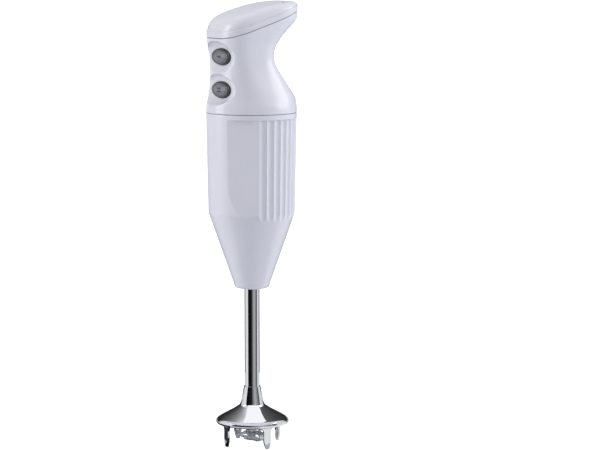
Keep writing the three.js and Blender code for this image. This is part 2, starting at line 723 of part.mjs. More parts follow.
function bladeGuard() {
  const bell = lathe([
    [4.7, 26.4], [4.7, 33.2], [TUBE_RADIUS + FIT, 33.2], [TUBE_RADIUS + FIT, GUARD_TOP_Z],
    [6.5, GUARD_TOP_Z], [7.9, 38.3], [8.7, 34.2], [9.8, 31.2], [11.6, 29.7], [25.3, 22.1], [27.5, 20.3],
    [GUARD_RIM_RADIUS, 18.4], [27.5, GUARD_RIM_Z], [26.6, GUARD_RIM_Z], [24.6, 20.4], [11, 27.8],
    [8.2, 28.2], [8.2, 26.4], [4.7, 26.4],
  ].reverse(), 32);
  const sealSeat = rod(5.2, 25, 29.9, 24);
  const half = [[7.4, 22.6], [7.1, 17.4], [4.4, 15.3], [3.2, 13.2], [3.1, 6.6], [1.5, 0.9], [1.2, 0]];
  const outline = [...half.map(([x, z]) => [-x, z]), ...[...half].reverse()];
  const prong = (turn) => plate(shapeOf(outline), -PRONG_THICKNESS / 2, PRONG_THICKNESS / 2)
    .rotateX(Math.PI / 2)
    .translate(0, -PRONG_RADIUS, 0)
    .rotateZ(turn);
  return cut(join(bell, ...[0, 1, 2, 3].map((i) => prong((i * Math.PI) / 2))), sealSeat);
}

function driveShaft() {
  const pinHole = rod(1.1, -6, 6, 12).rotateY(Math.PI / 2)
    .rotateZ(degrees(CUTTER_TURN))
    .translate(0, 0, 19.4);
  return cut(rod(SHAFT_RADIUS, 6.4, 148.2), pinHole);
}

function drivePin() {
  return rod(0.95, -4.4, 4.4, 12).rotateY(Math.PI / 2).translate(0, 0, 19.4);
}

// ---------------------------------------------------------------- cutter

function cutterHub() {
  const body = lathe([
    [SHAFT_RADIUS + RUN, 6.9], [4.4, 6.9], [4.4, 8.9], [3.8, 8.9], [3.8, 10.1], [5, 10.1], [5, 22],
    [4.6, 22.4], [SHAFT_RADIUS + RUN, 22.4], [SHAFT_RADIUS + RUN, 6.9],
  ]);
  const slot = block([-8, -1.15, 18.2], [8, 1.15, 24]);
  return cut(body, slot);
}

// One pressed strip of steel: an arm that folds under the hub and runs out as a blade on the far
// side, crossed by a flat blade and a blade turned up.
function cutterBlade() {
  const [top, low, foldX] = [10, 3.6, 9.2];
  const strip = new THREE.Shape();
  strip.moveTo(-5, top);
  strip.lineTo(foldX, top);
  strip.absarc(foldX, (top + low) / 2, (top - low) / 2, Math.PI / 2, -Math.PI / 2, true);
  strip.lineTo(-13.5, low);
  strip.lineTo(-13.5, low + SHEET);
  strip.lineTo(foldX, low + SHEET);
  strip.absarc(foldX, (top + low) / 2, (top - low) / 2 - SHEET, -Math.PI / 2, Math.PI / 2, false);
  strip.lineTo(-5, top - SHEET);
  const folded = plate(strip, -5, 5, 8).rotateX(Math.PI / 2);
  const plan = shapeOf([
    [16, -3.6], [16, 3.6], [3, 3.6], [0, 5], [-5, 5], [-6, 3.4], [-13.2, 1], [-13.2, -1], [-6, -3.4],
    [-5, -5], [0, -5], [3, -3.6],
  ]);
  const arm = keep(folded, plate(plan, 0, 20));
  const flatShape = shapeOf([[3.6, -3.4], [16.4, -1.1], [17, 0], [16.4, 1.1], [3.6, 3.4]]);
  const flat = plate(flatShape, top - SHEET, top)
    .rotateZ(-Math.PI / 2);
  const raised = plate(shapeOf([[0, -3.4], [10, -1.2], [10.6, 0], [10, 1.2], [0, 3.4]]), 0, SHEET)
    .rotateY(degrees(-52))
    .translate(6.2, 0, top - SHEET)
    .rotateZ(Math.PI / 2);
  const rootShape = shapeOf([[3, -3.4], [6.6, -3.4], [6.6, 3.4], [3, 3.4]]);
  const root = plate(rootShape, top - SHEET, top).rotateZ(Math.PI / 2);
  return cut(join(arm, flat, root, raised), rod(3.95, 8, 11, 24));
}

// ---------------------------------------------------------------- build

add('handle_shell', handleShell(), whiteShell);
add('top_cover', topCover(), whiteShell);
add('cover_seal', coverSeal(), greyRubber);
add('cord_gland', cordGland(), blackRubber);
for (const [name, x] of [['cover_screw_left', -SCREW_X], ['cover_screw_right', SCREW_X]]) {
  add(name, coverScrew(), steel).position.set(x, SCREW_Y, 0);
}

add('barrel_shell', barrelShell(), whiteShell);
add('collar_seal', collarSeal(), greyRubber);
add('nose_ring', noseRing(), whiteInner);

Object.entries(BUTTON_HEIGHTS).forEach(([name, z], i) => {
  add(name, button(i + 1), greyButton).position.z = z;
  add(`button_spring_${i + 1}`, buttonSpring(), steel).position.z = z;
  add(`microswitch_${i + 1}`, microswitch(), switchBlack).position.set(-9.6, 0, z);
});
add('button_frame', buttonFrame(), whiteInner);
add('switch_board', switchBoard(), boardGreen);
add('board_screw_upper', boardScrew(), steel).position.set(14, 0, 305);
add('board_screw_lower', boardScrew(), steel).position.set(14, 0, 267);
add('suppression_capacitor', capacitor(), capacitorBlue);
add('terminal_block', terminalBlock(), whiteInner);
add('motor_lead_brown', motorLead(-1), leadBrown);
add('motor_lead_blue', motorLead(1), leadBlue);

add('stator_core', statorCore(), lamination);
for (const [name, turn] of [['rear', 0], ['front', Math.PI]]) {
  add(`field_coil_${name}`, fieldCoil(), copper).rotation.z = turn;
  add(`brush_holder_${name}`, brushHolder(), brass).rotation.z = turn;
  add(`carbon_brush_${name}`, brush(), carbon).rotation.z = turn;
  add(`brush_spring_${name}`, brushSpring(), steel).rotation.z = turn;
}
add('motor_frame_top', motorFrameTop(), motorPlastic);
add('motor_frame_bottom', motorFrameBottom(), motorPlastic);
add('bearing_top', bearing(), steel).position.z = 246.8;
add('bearing_bottom', bearing(), steel).position.z = 173.3;
add('motor_bolt_left', motorBolt(), steel).position.x = -BOLT_X;
add('motor_bolt_right', motorBolt(), steel).position.x = BOLT_X;
add('motor_mount_upper', sleeve(STATOR_RADIUS + 0.3, 30.2, 213, 219, 36), blackRubber);
add('motor_mount_lower', sleeve(STATOR_RADIUS + 0.3, 29.8, 193, 199, 36), blackRubber);

add('motor_shaft', rod(SHAFT_RADIUS, 156.2, 254), steel);
add(
  'armature_core',
  slottedDisc(ARMATURE_RADIUS, 9, 2.6, 12, SHAFT_RADIUS + FIT, STACK_BOTTOM_Z, STACK_TOP_Z),
  lamination,
);
add('armature_winding', armatureWinding(), copper);
add(
  'commutator',
  slottedDisc(COMMUTATOR_RADIUS, 7.6, 0.6, 10, SHAFT_RADIUS + FIT, COMMUTATOR_Z, COMMUTATOR_Z + 11),
  copper,
);
add('cooling_fan', coolingFan(), motorPlastic);
const upperHalf = add('coupling_upper', couplingHalf(-7, 1), motorPlastic);
upperHalf.rotation.x = Math.PI;
upperHalf.position.z = 153.4;
add('coupling_star', couplingStar(), blackRubber).position.z = 147.9;
const lowerHalf = add('coupling_lower', couplingHalf(-7, 1), motorPlastic);
lowerHalf.rotation.z = Math.PI / 2;
lowerHalf.position.z = 147.8;
add('drive_shaft', driveShaft(), steel);

add('shaft_tube', shaftTube(), chrome);
add('tube_nut', tubeNut(), brass);
add('upper_bush', sleeve(SHAFT_RADIUS + RUN, TUBE_BORE - FIT, 128, 140), bronze);
add('lower_bush', sleeve(SHAFT_RADIUS + RUN, TUBE_BORE - FIT, 34, 46), bronze);
add('shaft_seal', sleeve(SHAFT_RADIUS + RUN, 5.1, 26.6, 29.7), blackRubber);
add('blade_guard', bladeGuard(), chrome);

add('drive_pin', drivePin(), steel, cutterGroup);
add('cutter_hub', cutterHub(), steel, cutterGroup);
add('cutter_blade', cutterBlade(), steel, cutterGroup);

export default blender;
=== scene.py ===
"""A white hand blender standing on the prongs of its steel foot.

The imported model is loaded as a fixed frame; each section below makes one piece, or one group of
like pieces, around it. Sizes are in millimetres where their names end in _mm, and in metres
elsewhere.
"""
import math

import bpy
import numpy as np
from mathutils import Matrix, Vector


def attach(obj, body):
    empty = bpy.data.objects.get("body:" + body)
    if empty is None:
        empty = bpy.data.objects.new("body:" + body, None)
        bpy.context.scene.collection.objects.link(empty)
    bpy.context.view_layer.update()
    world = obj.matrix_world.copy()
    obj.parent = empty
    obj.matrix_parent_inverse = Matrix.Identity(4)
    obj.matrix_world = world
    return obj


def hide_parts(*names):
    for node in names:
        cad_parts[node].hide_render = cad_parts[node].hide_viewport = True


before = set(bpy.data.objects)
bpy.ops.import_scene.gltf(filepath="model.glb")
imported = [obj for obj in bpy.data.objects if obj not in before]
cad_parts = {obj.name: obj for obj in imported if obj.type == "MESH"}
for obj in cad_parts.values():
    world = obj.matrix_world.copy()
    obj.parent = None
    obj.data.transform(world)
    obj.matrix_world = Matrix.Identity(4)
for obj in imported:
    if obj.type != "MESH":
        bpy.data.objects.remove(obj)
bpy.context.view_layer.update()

# ------------------------------------------------------------------ studio
# A wide white floor under an even sky, with the camera a little above the foot. The panels are a
# photographer's black flags and white reflectors: only polished surfaces see them.


def add_node(tree, kind, inputs=None, **settings):
    """Adds a node; inputs maps a socket's name or number to a value or to another node's socket."""
    node = tree.nodes.new(kind)
    for name, value in settings.items():
        setattr(node, name, value)
    for name, value in (inputs or {}).items():
        if isinstance(value, bpy.types.NodeSocket):
            tree.links.new(value, node.inputs[name])
        else:
            node.inputs[name].default_value = value
    return node


def srgb(text):
    """A colour written as hex, such as "#E6E6EC", as linear red, green, blue and alpha."""
    parts = [int(text[i:i + 2], 16) / 255 for i in (1, 3, 5)]
    linear = [p / 12.92 if p <= 0.04045 else ((p + 0.055) / 1.055) ** 2.4 for p in parts]
    return (*linear, 1.0)


def mesh_object(name, points, faces, smooth_angle=30):
    """A mesh object from points in millimetres, smooth except at edges sharper than the angle."""
    mesh = bpy.data.meshes.new(name)
    mesh.from_pydata([tuple(p) for p in np.asarray(points) * 0.001], [], faces)
    mesh.validate()
    mesh.shade_smooth()
    mesh.set_sharp_from_angle(angle=math.radians(smooth_angle))
    made = bpy.data.objects.new(name, mesh)
    bpy.context.collection.objects.link(made)
    return made


view_azimuth = math.radians(60)
view_elevation = math.radians(7.2)
view_distance = 1.71
aim_height = 0.17
aim_aside = 0.0368  # the blender stands this far left of the middle of the picture

to_camera = Vector((math.sin(view_azimuth), -math.cos(view_azimuth), 0))
to_right = Vector((math.cos(view_azimuth), math.sin(view_azimuth), 0))
camera_data = bpy.data.cameras.new("camera")
camera_data.sensor_width = 36
camera_data.lens = 134.4
camera_data.clip_end = 100
camera = bpy.data.objects.new("camera", camera_data)
bpy.context.collection.objects.link(camera)
on_axis = Vector((0, 0, aim_height))
camera.location = on_axis + view_distance * (
    math.cos(view_elevation) * to_camera + math.sin(view_elevation) * Vector((0, 0, 1))
)
aim = on_axis + aim_aside * to_right
camera.rotation_euler = (aim - camera.location).to_track_quat("-Z", "Y").to_euler()
bpy.context.scene.camera = camera
bpy.context.scene.view_settings.view_transform = "Standard"

world = bpy.data.worlds.new("studio_sky")
bpy.context.scene.world = world
world.use_nodes = True
sky = world.node_tree
sky.nodes.clear()
sky_way = add_node(sky, "ShaderNodeTexCoord")
sky_height = add_node(sky, "ShaderNodeSeparateXYZ", {0: sky_way.outputs["Generated"]})
sky_level = add_node(sky, "ShaderNodeMapRange", {
    "Value": sky_height.outputs["Z"], "From Min": 0.0, "From Max": 1.0, "To Min": 0.27, "To Max": 1.1,
})
sky_light = add_node(sky, "ShaderNodeBackground", {
    "Color": srgb("#F7F8FF"), "Strength": sky_level.outputs["Result"],
})
sky_seen = add_node(sky, "ShaderNodeBackground", {"Color": (1, 1, 1, 1), "Strength": 1.0})
sky_ray = add_node(sky, "ShaderNodeLightPath")
sky_mix = add_node(sky, "ShaderNodeMixShader", {
    0: sky_ray.outputs["Is Camera Ray"], 1: sky_light.outputs[0], 2: sky_seen.outputs[0],
})
add_node(sky, "ShaderNodeOutputWorld", {"Surface": sky_mix.outputs[0]})

# The floor is a white sheet lit from below as well, so that it stays white round the feet.
floor_finish = bpy.data.materials.new("white_acrylic_sheet")
floor_finish.use_nodes = True
floor_shader = floor_finish.node_tree.nodes["Principled BSDF"]
floor_shader.inputs["Base Color"].default_value = srgb("#DDDFE4")
floor_shader.inputs["Roughness"].default_value = 0.9
floor_shader.inputs["Specular IOR Level"].default_value = 0.0
floor_shader.inputs["Emission Color"].default_value = (1, 1, 1, 1)
floor_ray = add_node(floor_finish.node_tree, "ShaderNodeLightPath")
floor_glow = add_node(floor_finish.node_tree, "ShaderNodeMath", {
    0: floor_ray.outputs["Is Camera Ray"], 1: 0.8,
}, operation="MULTIPLY")
floor_finish.node_tree.links.new(floor_glow.outputs[0], floor_shader.inputs["Emission Strength"])
floor_half_mm = 40000
floor = mesh_object(
    "floor",
    [(sx * floor_half_mm, sy * floor_half_mm, 0) for sx, sy in ((-1, -1), (1, -1), (1, 1), (-1, 1))],
    [(0, 1, 2, 3)],
)
floor.data.materials.append(floor_finish)


def mirror_only(piece, surface):
    """Gives a studio piece its surface, and hides it from everything but polished metal and gloss."""
    surface.cycles.emission_sampling = "NONE"
    piece.data.materials.append(surface)
    piece.visible_camera = False
    piece.visible_diffuse = False
    piece.visible_shadow = False


def studio_panel(name, start, end, low_mm, high_mm, radius_mm, levels, climb=1.0):
    """A curved panel round the blender, from start to end degrees clockwise of the camera.

    Its brightness runs between four levels: low start, low end, high start, high end. A climb above
    1 keeps it near the low levels for longer.
    """
    across, up = 16, 8
    points, glows, faces = [], [], []
    for j in range(up + 1):
        for i in range(across + 1):
            s, t = i / across, j / up
            turn = math.radians(start + (end - start) * s)
            way = math.cos(turn) * to_camera + math.sin(turn) * to_right
            points.append((way.x * radius_mm, way.y * radius_mm, low_mm + (high_mm - low_mm) * t))
            low = levels[0] + (levels[1] - levels[0]) * s
            high = levels[2] + (levels[3] - levels[2]) * s
            glows.append(low + (high - low) * t ** climb)
    for j in range(up):
        for i in range(across):
            k = j * (across + 1) + i
            faces.append((k, k + 1, k + across + 2, k + across + 1))
    panel = mesh_object(name, points, faces)
    panel.data.attributes.new("glow", "FLOAT", "POINT").data.foreach_set("value", glows)
    surface = bpy.data.materials.new(name)
    surface.use_nodes = True
    tree = surface.node_tree
    tree.nodes.clear()
    level = add_node(tree, "ShaderNodeAttribute", attribute_name="glow")
    glow = add_node(tree, "ShaderNodeEmission", {"Color": (1, 1, 1, 1), "Strength": level.outputs["Fac"]})
    add_node(tree, "ShaderNodeOutputMaterial", {"Surface": glow.outputs[0]})
    mirror_only(panel, surface)


studio_panel("flag_front_left", -62, -3, 0, 150, 150, (0.0, 0.02, 0.0, 0.02))
studio_panel("white_left", -118, -62, 0, 150, 150, (0.95, 1.1, 0.95, 1.1))
studio_panel("grey_front", -3, 30, 0, 150, 150, (0.05, 0.6, 0.05, 0.6))
studio_panel("grey_front_right", 30, 68, 0, 150, 150, (0.6, 0.2, 0.6, 0.2))
studio_panel("flag_right", 68, 79, 0, 150, 150, (0.02, 0.02, 0.02, 0.02))
studio_panel("white_right", 79, 122, 0, 150, 150, (1.0, 0.9, 1.0, 0.9))
studio_panel("white_rear_low", 150, 205, 12, 33, 115, (1.0, 1.0, 1.0, 1.0))
studio_panel("flag_rear_left", -180, -122, 34, 300, 115, (0.01, 0.01, 1.1, 0.9), climb=1.7)
studio_panel("flag_rear_right", 122, 180, 34, 300, 115, (0.03, 0.02, 0.2, 0.2))


def softbox(name, azimuth, elevation, distance, width, height, power, colour):
    """A soft rectangular lamp that looks at the middle of the blender."""
    data = bpy.data.lights.new(name, "AREA")
    data.shape = "RECTANGLE"
    data.size = width
    data.size_y = height
    data.energy = power
    data.color = srgb(colour)[:3]
    lamp = bpy.data.objects.new(name, data)
    bpy.context.collection.objects.link(lamp)
    turn, rise = math.radians(azimuth), math.radians(elevation)
    flat = math.cos(turn) * to_camera + math.sin(turn) * to_right
    lamp.location = on_axis + distance * (math.cos(rise) * flat + math.sin(rise) * Vector((0, 0, 1)))
    lamp.rotation_euler = (on_axis - lamp.location).to_track_quat("-Z", "Y").to_euler()


def card(name, start, end, inner_mm, outer_mm, level, inner_z_mm=0.4, outer_z_mm=0.4):
    """A card round the foot, from start to end degrees clockwise of the camera.

    It lies on the floor, unless inner_z_mm lifts it: then it shines downwards only.
    """
    steps = 24
    points = []
    for i in range(steps + 1):
        turn = math.radians(start + (end - start) * i / steps)
        way = math.cos(turn) * to_camera + math.sin(turn) * to_right
        for radius, z in ((inner_mm, inner_z_mm), (outer_mm, outer_z_mm)):
            points.append((way.x * radius, way.y * radius, z))
    faces = [(2 * i, 2 * i + 1, 2 * i + 3, 2 * i + 2) for i in range(steps)]
    made = mesh_object(name, points, faces)
    surface = bpy.data.materials.new(name)
    surface.use_nodes = True
    tree = surface.node_tree
    tree.nodes.clear()
    glow = add_node(tree, "ShaderNodeEmission", {"Color": (1, 1, 1, 1), "Strength": level})
    side = add_node(tree, "ShaderNodeNewGeometry")
    clear = add_node(tree, "ShaderNodeBsdfTransparent")
    below = side.outputs["Backfacing"] if inner_z_mm > 1 else 1.0
    mix = add_node(tree, "ShaderNodeMixShader", {0: below, 1: clear.outputs[0], 2: glow.outputs[0]})
    add_node(tree, "ShaderNodeOutputMaterial", {"Surface": mix.outputs[0]})
    mirror_only(made, surface)


card("black_card_under", -75, 15, 4, 34, 0.01)
card("black_card_left", -178, -60, 34, 150, 0.05)
card("grey_card_rear", 122, 178, 34, 150, 0.2)
card("white_card_over_bell", -32, 52, 8.3, 21.5, 1.4, 36, 42.2)
card("white_card_under", 60, 125, 6, 34, 1.0)
card("white_card_right", 20, 122, 34, 150, 1.1)
softbox("softbox_left", -88, 20, 2.2, 1.0, 1.8, 19, "#FFFFFF")
softbox("softbox_right", 92, 24, 2.4, 1.6, 1.8, 31, "#FBFCFF")

# ------------------------------------------------------------------ barrel
# The motor housing: one deep injection moulding in white ABS, plain in front, with a flat panel on
# each side and soft flutes round the back that end under the collar and run out where the cone
# begins. The handle's spigot plugs into its collar.

nose_z_mm = 122.0
shoulder_z_mm = 180.0
collar_z_mm = 256.2
wall_top_mm = 256.0  # the collar's edge is rounded above this height
nose_radius_mm = 13.5
shoulder_radius_mm = 33.0
collar_radius_mm = 34.5
nose_round_mm = 3.0
shoulder_round_mm = 0.5
flute_pitch = 10.0  # degrees
flute_start = -20.0  # degrees from +X, where the panel ends and the flutes begin
flute_depth_mm = 1.35
flute_top_mm = 252.6
flute_end_mm = 0.5  # over this height a flute or panel dies away at its top
ridge_round_mm = 0.25
panel_start = -62.0  # the panel's front edge where it is widest
panel_bend_mm = 204.5  # below this height that edge curves back to the flutes
panel_tip_mm = 175.4

# The cone leaves the nose four fifths of the way up its rounding.
cone_slope = (shoulder_radius_mm - nose_radius_mm) / (shoulder_z_mm - nose_z_mm - 0.8 * nose_round_mm)
wall_slope = (collar_radius_mm - shoulder_radius_mm) / (wall_top_mm - shoulder_z_mm)


def finish(name, colour, roughness, metallic=0.0, ior=1.5, spread=0.04, grain_mm=6.0, bump_mm=0.0,
           shade=0.97, stretch=(1, 1, 1)):
    """A solid material whose colour and roughness drift over patches of grain_mm.

    stretch squeezes the patches along each axis, so that (1, 1, 0.02) draws lines along Z.
    """
    made = bpy.data.materials.new(name)
    made.use_nodes = True
    tree = made.node_tree
    shader = tree.nodes["Principled BSDF"]
    shader.inputs["Metallic"].default_value = metallic
    shader.inputs["IOR"].default_value = ior
    place = add_node(tree, "ShaderNodeTexCoord")
    squeezed = add_node(tree, "ShaderNodeMapping", {"Vector": place.outputs["Object"], "Scale": stretch})
    patches = add_node(tree, "ShaderNodeTexNoise", {
        "Vector": squeezed.outputs["Vector"], "Scale": 1000 / grain_mm, "Detail": 3.0, "Roughness": 0.55,
    })
    light, dark = srgb(colour), tuple(c * shade for c in srgb(colour)[:3]) + (1.0,)
    tint = add_node(tree, "ShaderNodeMix", {0: patches.outputs["Fac"], 6: dark, 7: light}, data_type="RGBA")
    rough = add_node(tree, "ShaderNodeMapRange", {
        "Value": patches.outputs["Fac"], "From Min": 0.3, "From Max": 0.7,
        "To Min": max(0.02, roughness - spread), "To Max": roughness + spread,
    })
    tree.links.new(tint.outputs[2], shader.inputs["Base Color"])
    tree.links.new(rough.outputs["Result"], shader.inputs["Roughness"])
    if bump_mm:
        dents = add_node(tree, "ShaderNodeBump", {
            "Height": patches.outputs["Fac"], "Distance": bump_mm / 1000, "Strength": 1.0,
        })
        tree.links.new(dents.outputs["Normal"], shader.inputs["Normal"])
    return made


# Polished in the mould: a clear, even gloss over a slightly blue white. The skin is never quite
# flat, so a reflection's edge wanders a little over each 14 mm.
gloss_white_abs = finish(
    "gloss_white_abs", "#DCDCE2", 0.25, ior=1.53, spread=0.02, grain_mm=14, bump_mm=0.006,
)


def skin(name, rings, closed, **kwargs):
    """A mesh over stacked rings of points; closed joins the last ring to the first."""
    rings = np.asarray(rings, float)
    count, around = rings.shape[:2]
    points = rings.reshape(-1, 3)
    last = count if closed else count - 1
    a = np.arange(around)
    b = (a + 1) % around
    faces = []
    for i in range(last):
        low, high = i * around, ((i + 1) % count) * around
        faces += np.stack([low + a, low + b, high + b, high + a], axis=1).tolist()
    if not closed:
        faces.append(list(range(around))[::-1])
        faces.append(list(range((count - 1) * around, count * around)))
    return mesh_object(name, points, faces, **kwargs)


def dress(piece, material, body, slot, *nodes):
    """Gives a piece its material, the body it rides on and the nodes it stands for. The slot argument is
    not used.
    """
    piece.data.materials.clear()
    piece.data.materials.append(material)
    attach(piece, body)
    if nodes:
        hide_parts(*nodes)


def arc(centre, radius, start, end, steps):
    """Points of an arc in (radius, height), from start to end degrees."""
    turns = np.radians(np.linspace(start, end, steps))
    return [(centre[0] + radius * math.cos(t), centre[1] + radius * math.sin(t)) for t in turns]


def barrel_wall(z):
    """Radius of the upper wall, which widens a little from the shoulder to the collar."""
    return shoulder_radius_mm + wall_slope * (z - shoulder_z_mm)


def soft_min(a, b, width):
    """The lesser of two values, with the corner between them rounded over about the given width."""
    d = np.clip(0.5 + 0.5 * (b - a) / width, 0, 1)
    return b * (1 - d) + a * d - width * d * (1 - d)


def barrel_plain(z):
    """Radius of the plain barrel: the upper wall, and the cone below the shoulder."""
    cone = shoulder_radius_mm - (shoulder_z_mm - z) * cone_slope
    return soft_min(barrel_wall(z), cone, shoulder_round_mm)


def panel_edge(z):
    """The panel's front edge, in degrees: upright, then bending back to the flutes at its tip."""
    share = np.clip((panel_bend_mm - z) / (panel_bend_mm - panel_tip_mm), 0, 1)
    return panel_start + (flute_start - panel_start) * (1 - np.sqrt(1 - share ** 2))


def barrel_radius(angle, z):
    """Outside radius at an angle in degrees from +X and a height; both sides are alike."""
    plain = barrel_plain(z)
    side = np.degrees(np.arcsin(np.clip(np.sin(np.radians(angle)), -1, 1)))
    share = (side - flute_start) / flute_pitch
    across = 2 * (share - np.floor(share + 1e-6)) - 1
    fade = np.clip((flute_top_mm - z) / flute_end_mm, 0, 1)
    floor_of_flute = barrel_wall(z) - flute_depth_mm * (1 - across ** 2) * fade
    fluted = soft_min(plain, floor_of_flute, ridge_round_mm)
    edge = panel_edge(z)
    middle = (edge + flute_start) / 2
    flat = plain * np.cos(np.radians(flute_start - middle)) / np.cos(np.radians(side - middle))
    panel = plain - (plain - flat) * fade
    return np.where(side > flute_start, fluted, np.where(side > edge, panel, plain))


around = np.arange(0, 360, 0.5)
outer_heights = np.concatenate([
    np.linspace(125.5, 172, 24), np.linspace(173, 182, 37), np.linspace(184, 250, 56),
    np.linspace(251.4, 253.4, 11), [254.5, 255.7],
])
barrel_rings = []
nose_centre = (nose_radius_mm - nose_round_mm + 0.3, nose_z_mm + nose_round_mm)
for r, z in arc(nose_centre, nose_round_mm, -90, -22, 8):
    barrel_rings.append((np.full(around.size, r), z))
for z in outer_heights:
    barrel_rings.append((barrel_radius(around, z), z))
barrel_inside = [
    (collar_radius_mm - 0.08, wall_top_mm), (collar_radius_mm - 0.25, collar_z_mm), (33.8, collar_z_mm),
    (33.7, 255.6), (31.0, 255.6), (31.0, 252), (30.2, 200), (29.7, 180), (15.5, 138.5), (14.5, 136.5),
    (6.0, 136.5), (6.0, 126.6), (9.75, 126.5), (9.75, nose_z_mm + 0.15), (10.0, nose_z_mm),
]
for r, z in barrel_inside:
    barrel_rings.append((np.full(around.size, r), z))
turn = np.radians(around)
barrel = skin("barrel", [
    np.stack([r * np.cos(turn), r * np.sin(turn), np.full(around.size, z)], axis=1) for r, z in barrel_rings
], True, smooth_angle=24)
dress(barrel, gloss_white_abs, "housing", "white_shell", "barrel_shell")

# ------------------------------------------------------------------ handle
# The grip: a white ABS moulding that narrows to a waist, leans back over the hand as a hook, and
# has a dished oval recess round each button. It plugs into the barrel with a spigot.


def smooth_curve(knots):
    """A smooth value between (height, value) knots: each knot's slope is the mean of its two sides."""
    x = np.array([k[0] for k in knots], float)
    v = np.array([k[1] for k in knots], float)
    rise = np.diff(v) / np.diff(x)
    slope = np.concatenate([rise[:1], (rise[:-1] + rise[1:]) / 2, rise[-1:]])

    def at(z):
        i = np.clip(np.searchsorted(x, z) - 1, 0, len(x) - 2)
        step = x[i + 1] - x[i]
        t = (z - x[i]) / step
        keep = (1 + 2 * t) * (1 - t) ** 2 * v[i] + t * t * (3 - 2 * t) * v[i + 1]
        lean = t * (1 - t) ** 2 * slope[i] - t * t * (1 - t) * slope[i + 1]
        return keep + lean * step

    return at


# The grip by height: its front and back along Y, half its width, and how square its oval is.
handle_front = smooth_curve([
    (256.8, -34.5), (262, -34.2), (268, -32.5), (275, -30.7), (283, -29.4), (296, -29.1),
    (306, -30.6), (316, -32), (326, -32.3), (345, -32.3),
])
handle_back = smooth_curve([
    (256.8, 34.5), (262, 34.3), (268, 32.5), (275, 27), (282.3, 21.1), (290.4, 15.2), (296, 12.4),
    (300.5, 12.1), (306.6, 13.7), (311.3, 16.9), (317.3, 22.4), (323.4, 29.4), (327.6, 32.8),
    (333, 33.6), (345, 33.6),
])
handle_half_width = smooth_curve([
    (256.8, 34.5), (262, 34.1), (268, 32.2), (275, 29.8), (283, 27.2), (291, 25.4), (298, 25),
    (307, 25.3), (317, 26.4), (327, 27), (345, 27),
])
handle_spread = smooth_curve([
    (256.8, 2), (262, 2), (268, 2.15), (275, 2.4), (283, 2.7), (291, 3), (345, 3),
])
handle_wall_mm = 2.4
handle_foot_mm = 256.6
seam_z_mm = 323.0
seam_slope = 0.331
dish_floor_mm = -25.3
pocket_mm = -23.5  # the inside is flat behind the buttons, where their flanges lie
dish_half_width_mm = 20.5
dish_half_height_mm = 12.0
button_heights_mm = (299.0, 274.2)


def seam_height(y):
    """Height of the seam under the cover, which climbs towards the back."""
    return seam_z_mm + seam_slope * y


def handle_outline(angle, z, depth=0.0):
    """x and y of the squared-off oval at each angle, at height z, moved in by depth."""
    c, s = np.cos(angle), np.sin(angle)
    n = handle_spread(z)
    front, back = handle_front(z) + depth, handle_back(z) - depth
    x = (handle_half_width(z) - depth) * np.sign(c) * np.abs(c) ** (2 / n)
    y = (front + back) / 2 + (back - front) / 2 * np.sign(s) * np.abs(s) ** (2 / n)
    return x, y


def dish_depth(x, y, z):
    """How far the recesses press the front in: a flat floor, and a rim softer towards its foot."""
    total = np.zeros_like(x)
    for centre in button_heights_mm:
        reach = np.hypot(x / dish_half_width_mm, (z - centre) / dish_half_height_mm)
        power = 0.5 + 0.7 * np.clip((centre - z) / dish_half_height_mm, 0, 1)
        bowl = np.clip(1 - reach ** 4, 0, 1) ** power
        total = np.maximum(total, np.maximum(dish_floor_mm - y, 0) * bowl)
    return total


front_fine = np.radians(np.arange(-148, -32, 0.3))
rest_coarse = np.radians(np.arange(-32, 212, 1.2))
handle_turns = np.concatenate([front_fine, rest_coarse])
lip_mm = 0.3


def handle_ring(share, depth=0.0):
    """One ring of the handle, the given share of the way from its foot to the sloping seam."""
    z = np.full(handle_turns.size, handle_foot_mm)
    for _ in range(6):
        x, y = handle_outline(handle_turns, z, depth)
        z = handle_foot_mm + share * (seam_height(y) - handle_foot_mm)
    x, y = handle_outline(handle_turns, z, depth)
    if depth > 1:
        y = np.maximum(y, pocket_mm)
    if not depth:
        y = y + np.where(y < 0, dish_depth(x, y, z), 0)
    return np.stack([x, y, z], axis=1)


handle_rings = [handle_ring(s) for s in np.linspace(0.008, 0.992, 150)]
outer_lip = handle_ring(1.0, lip_mm)
inner_lip = handle_ring(1.0, handle_wall_mm)
handle_rings += [outer_lip, inner_lip]
handle_rings += [handle_ring(s, handle_wall_mm) for s in np.linspace(0.9, 0.15, 14)]
spigot = [
    (29.4, 262), (29.4, 249.4), (30.7, 249.2), (30.9, 249.6), (30.9, 257.2), (33.4, 257.2), (33.6, 256.7),
]
for r, z in spigot:
    level = np.full(handle_turns.size, z)
    handle_rings.append(np.stack([r * np.cos(handle_turns), r * np.sin(handle_turns), level], axis=1))
handle_rings.append(handle_ring(0.0, 0.25))
handle = skin("handle", handle_rings, True, smooth_angle=60)


def oval_bar(name, half_width, half_height, front, back, z, steps=72):
    """A straight bar of oval section along Y, between front and back."""
    turns = np.linspace(0, 2 * math.pi, steps, endpoint=False)
    rings = [
        np.stack([half_width * np.cos(turns), np.full(steps, y), z + half_height * np.sin(turns)], axis=1)
        for y in (back, front)
    ]
    return skin(name, rings, False)


def combine(piece, tool, operation="DIFFERENCE"):
    """Cuts the closed mesh tool out of piece, or joins it on with "UNION", and deletes tool."""
    step = piece.modifiers.new("combine", "BOOLEAN")
    step.operation = operation
    step.solver = "MANIFOLD"
    step.object = tool
    with bpy.context.temp_override(object=piece, active_object=piece):
        bpy.ops.object.modifier_apply(modifier=step.name)
    bpy.data.objects.remove(tool)


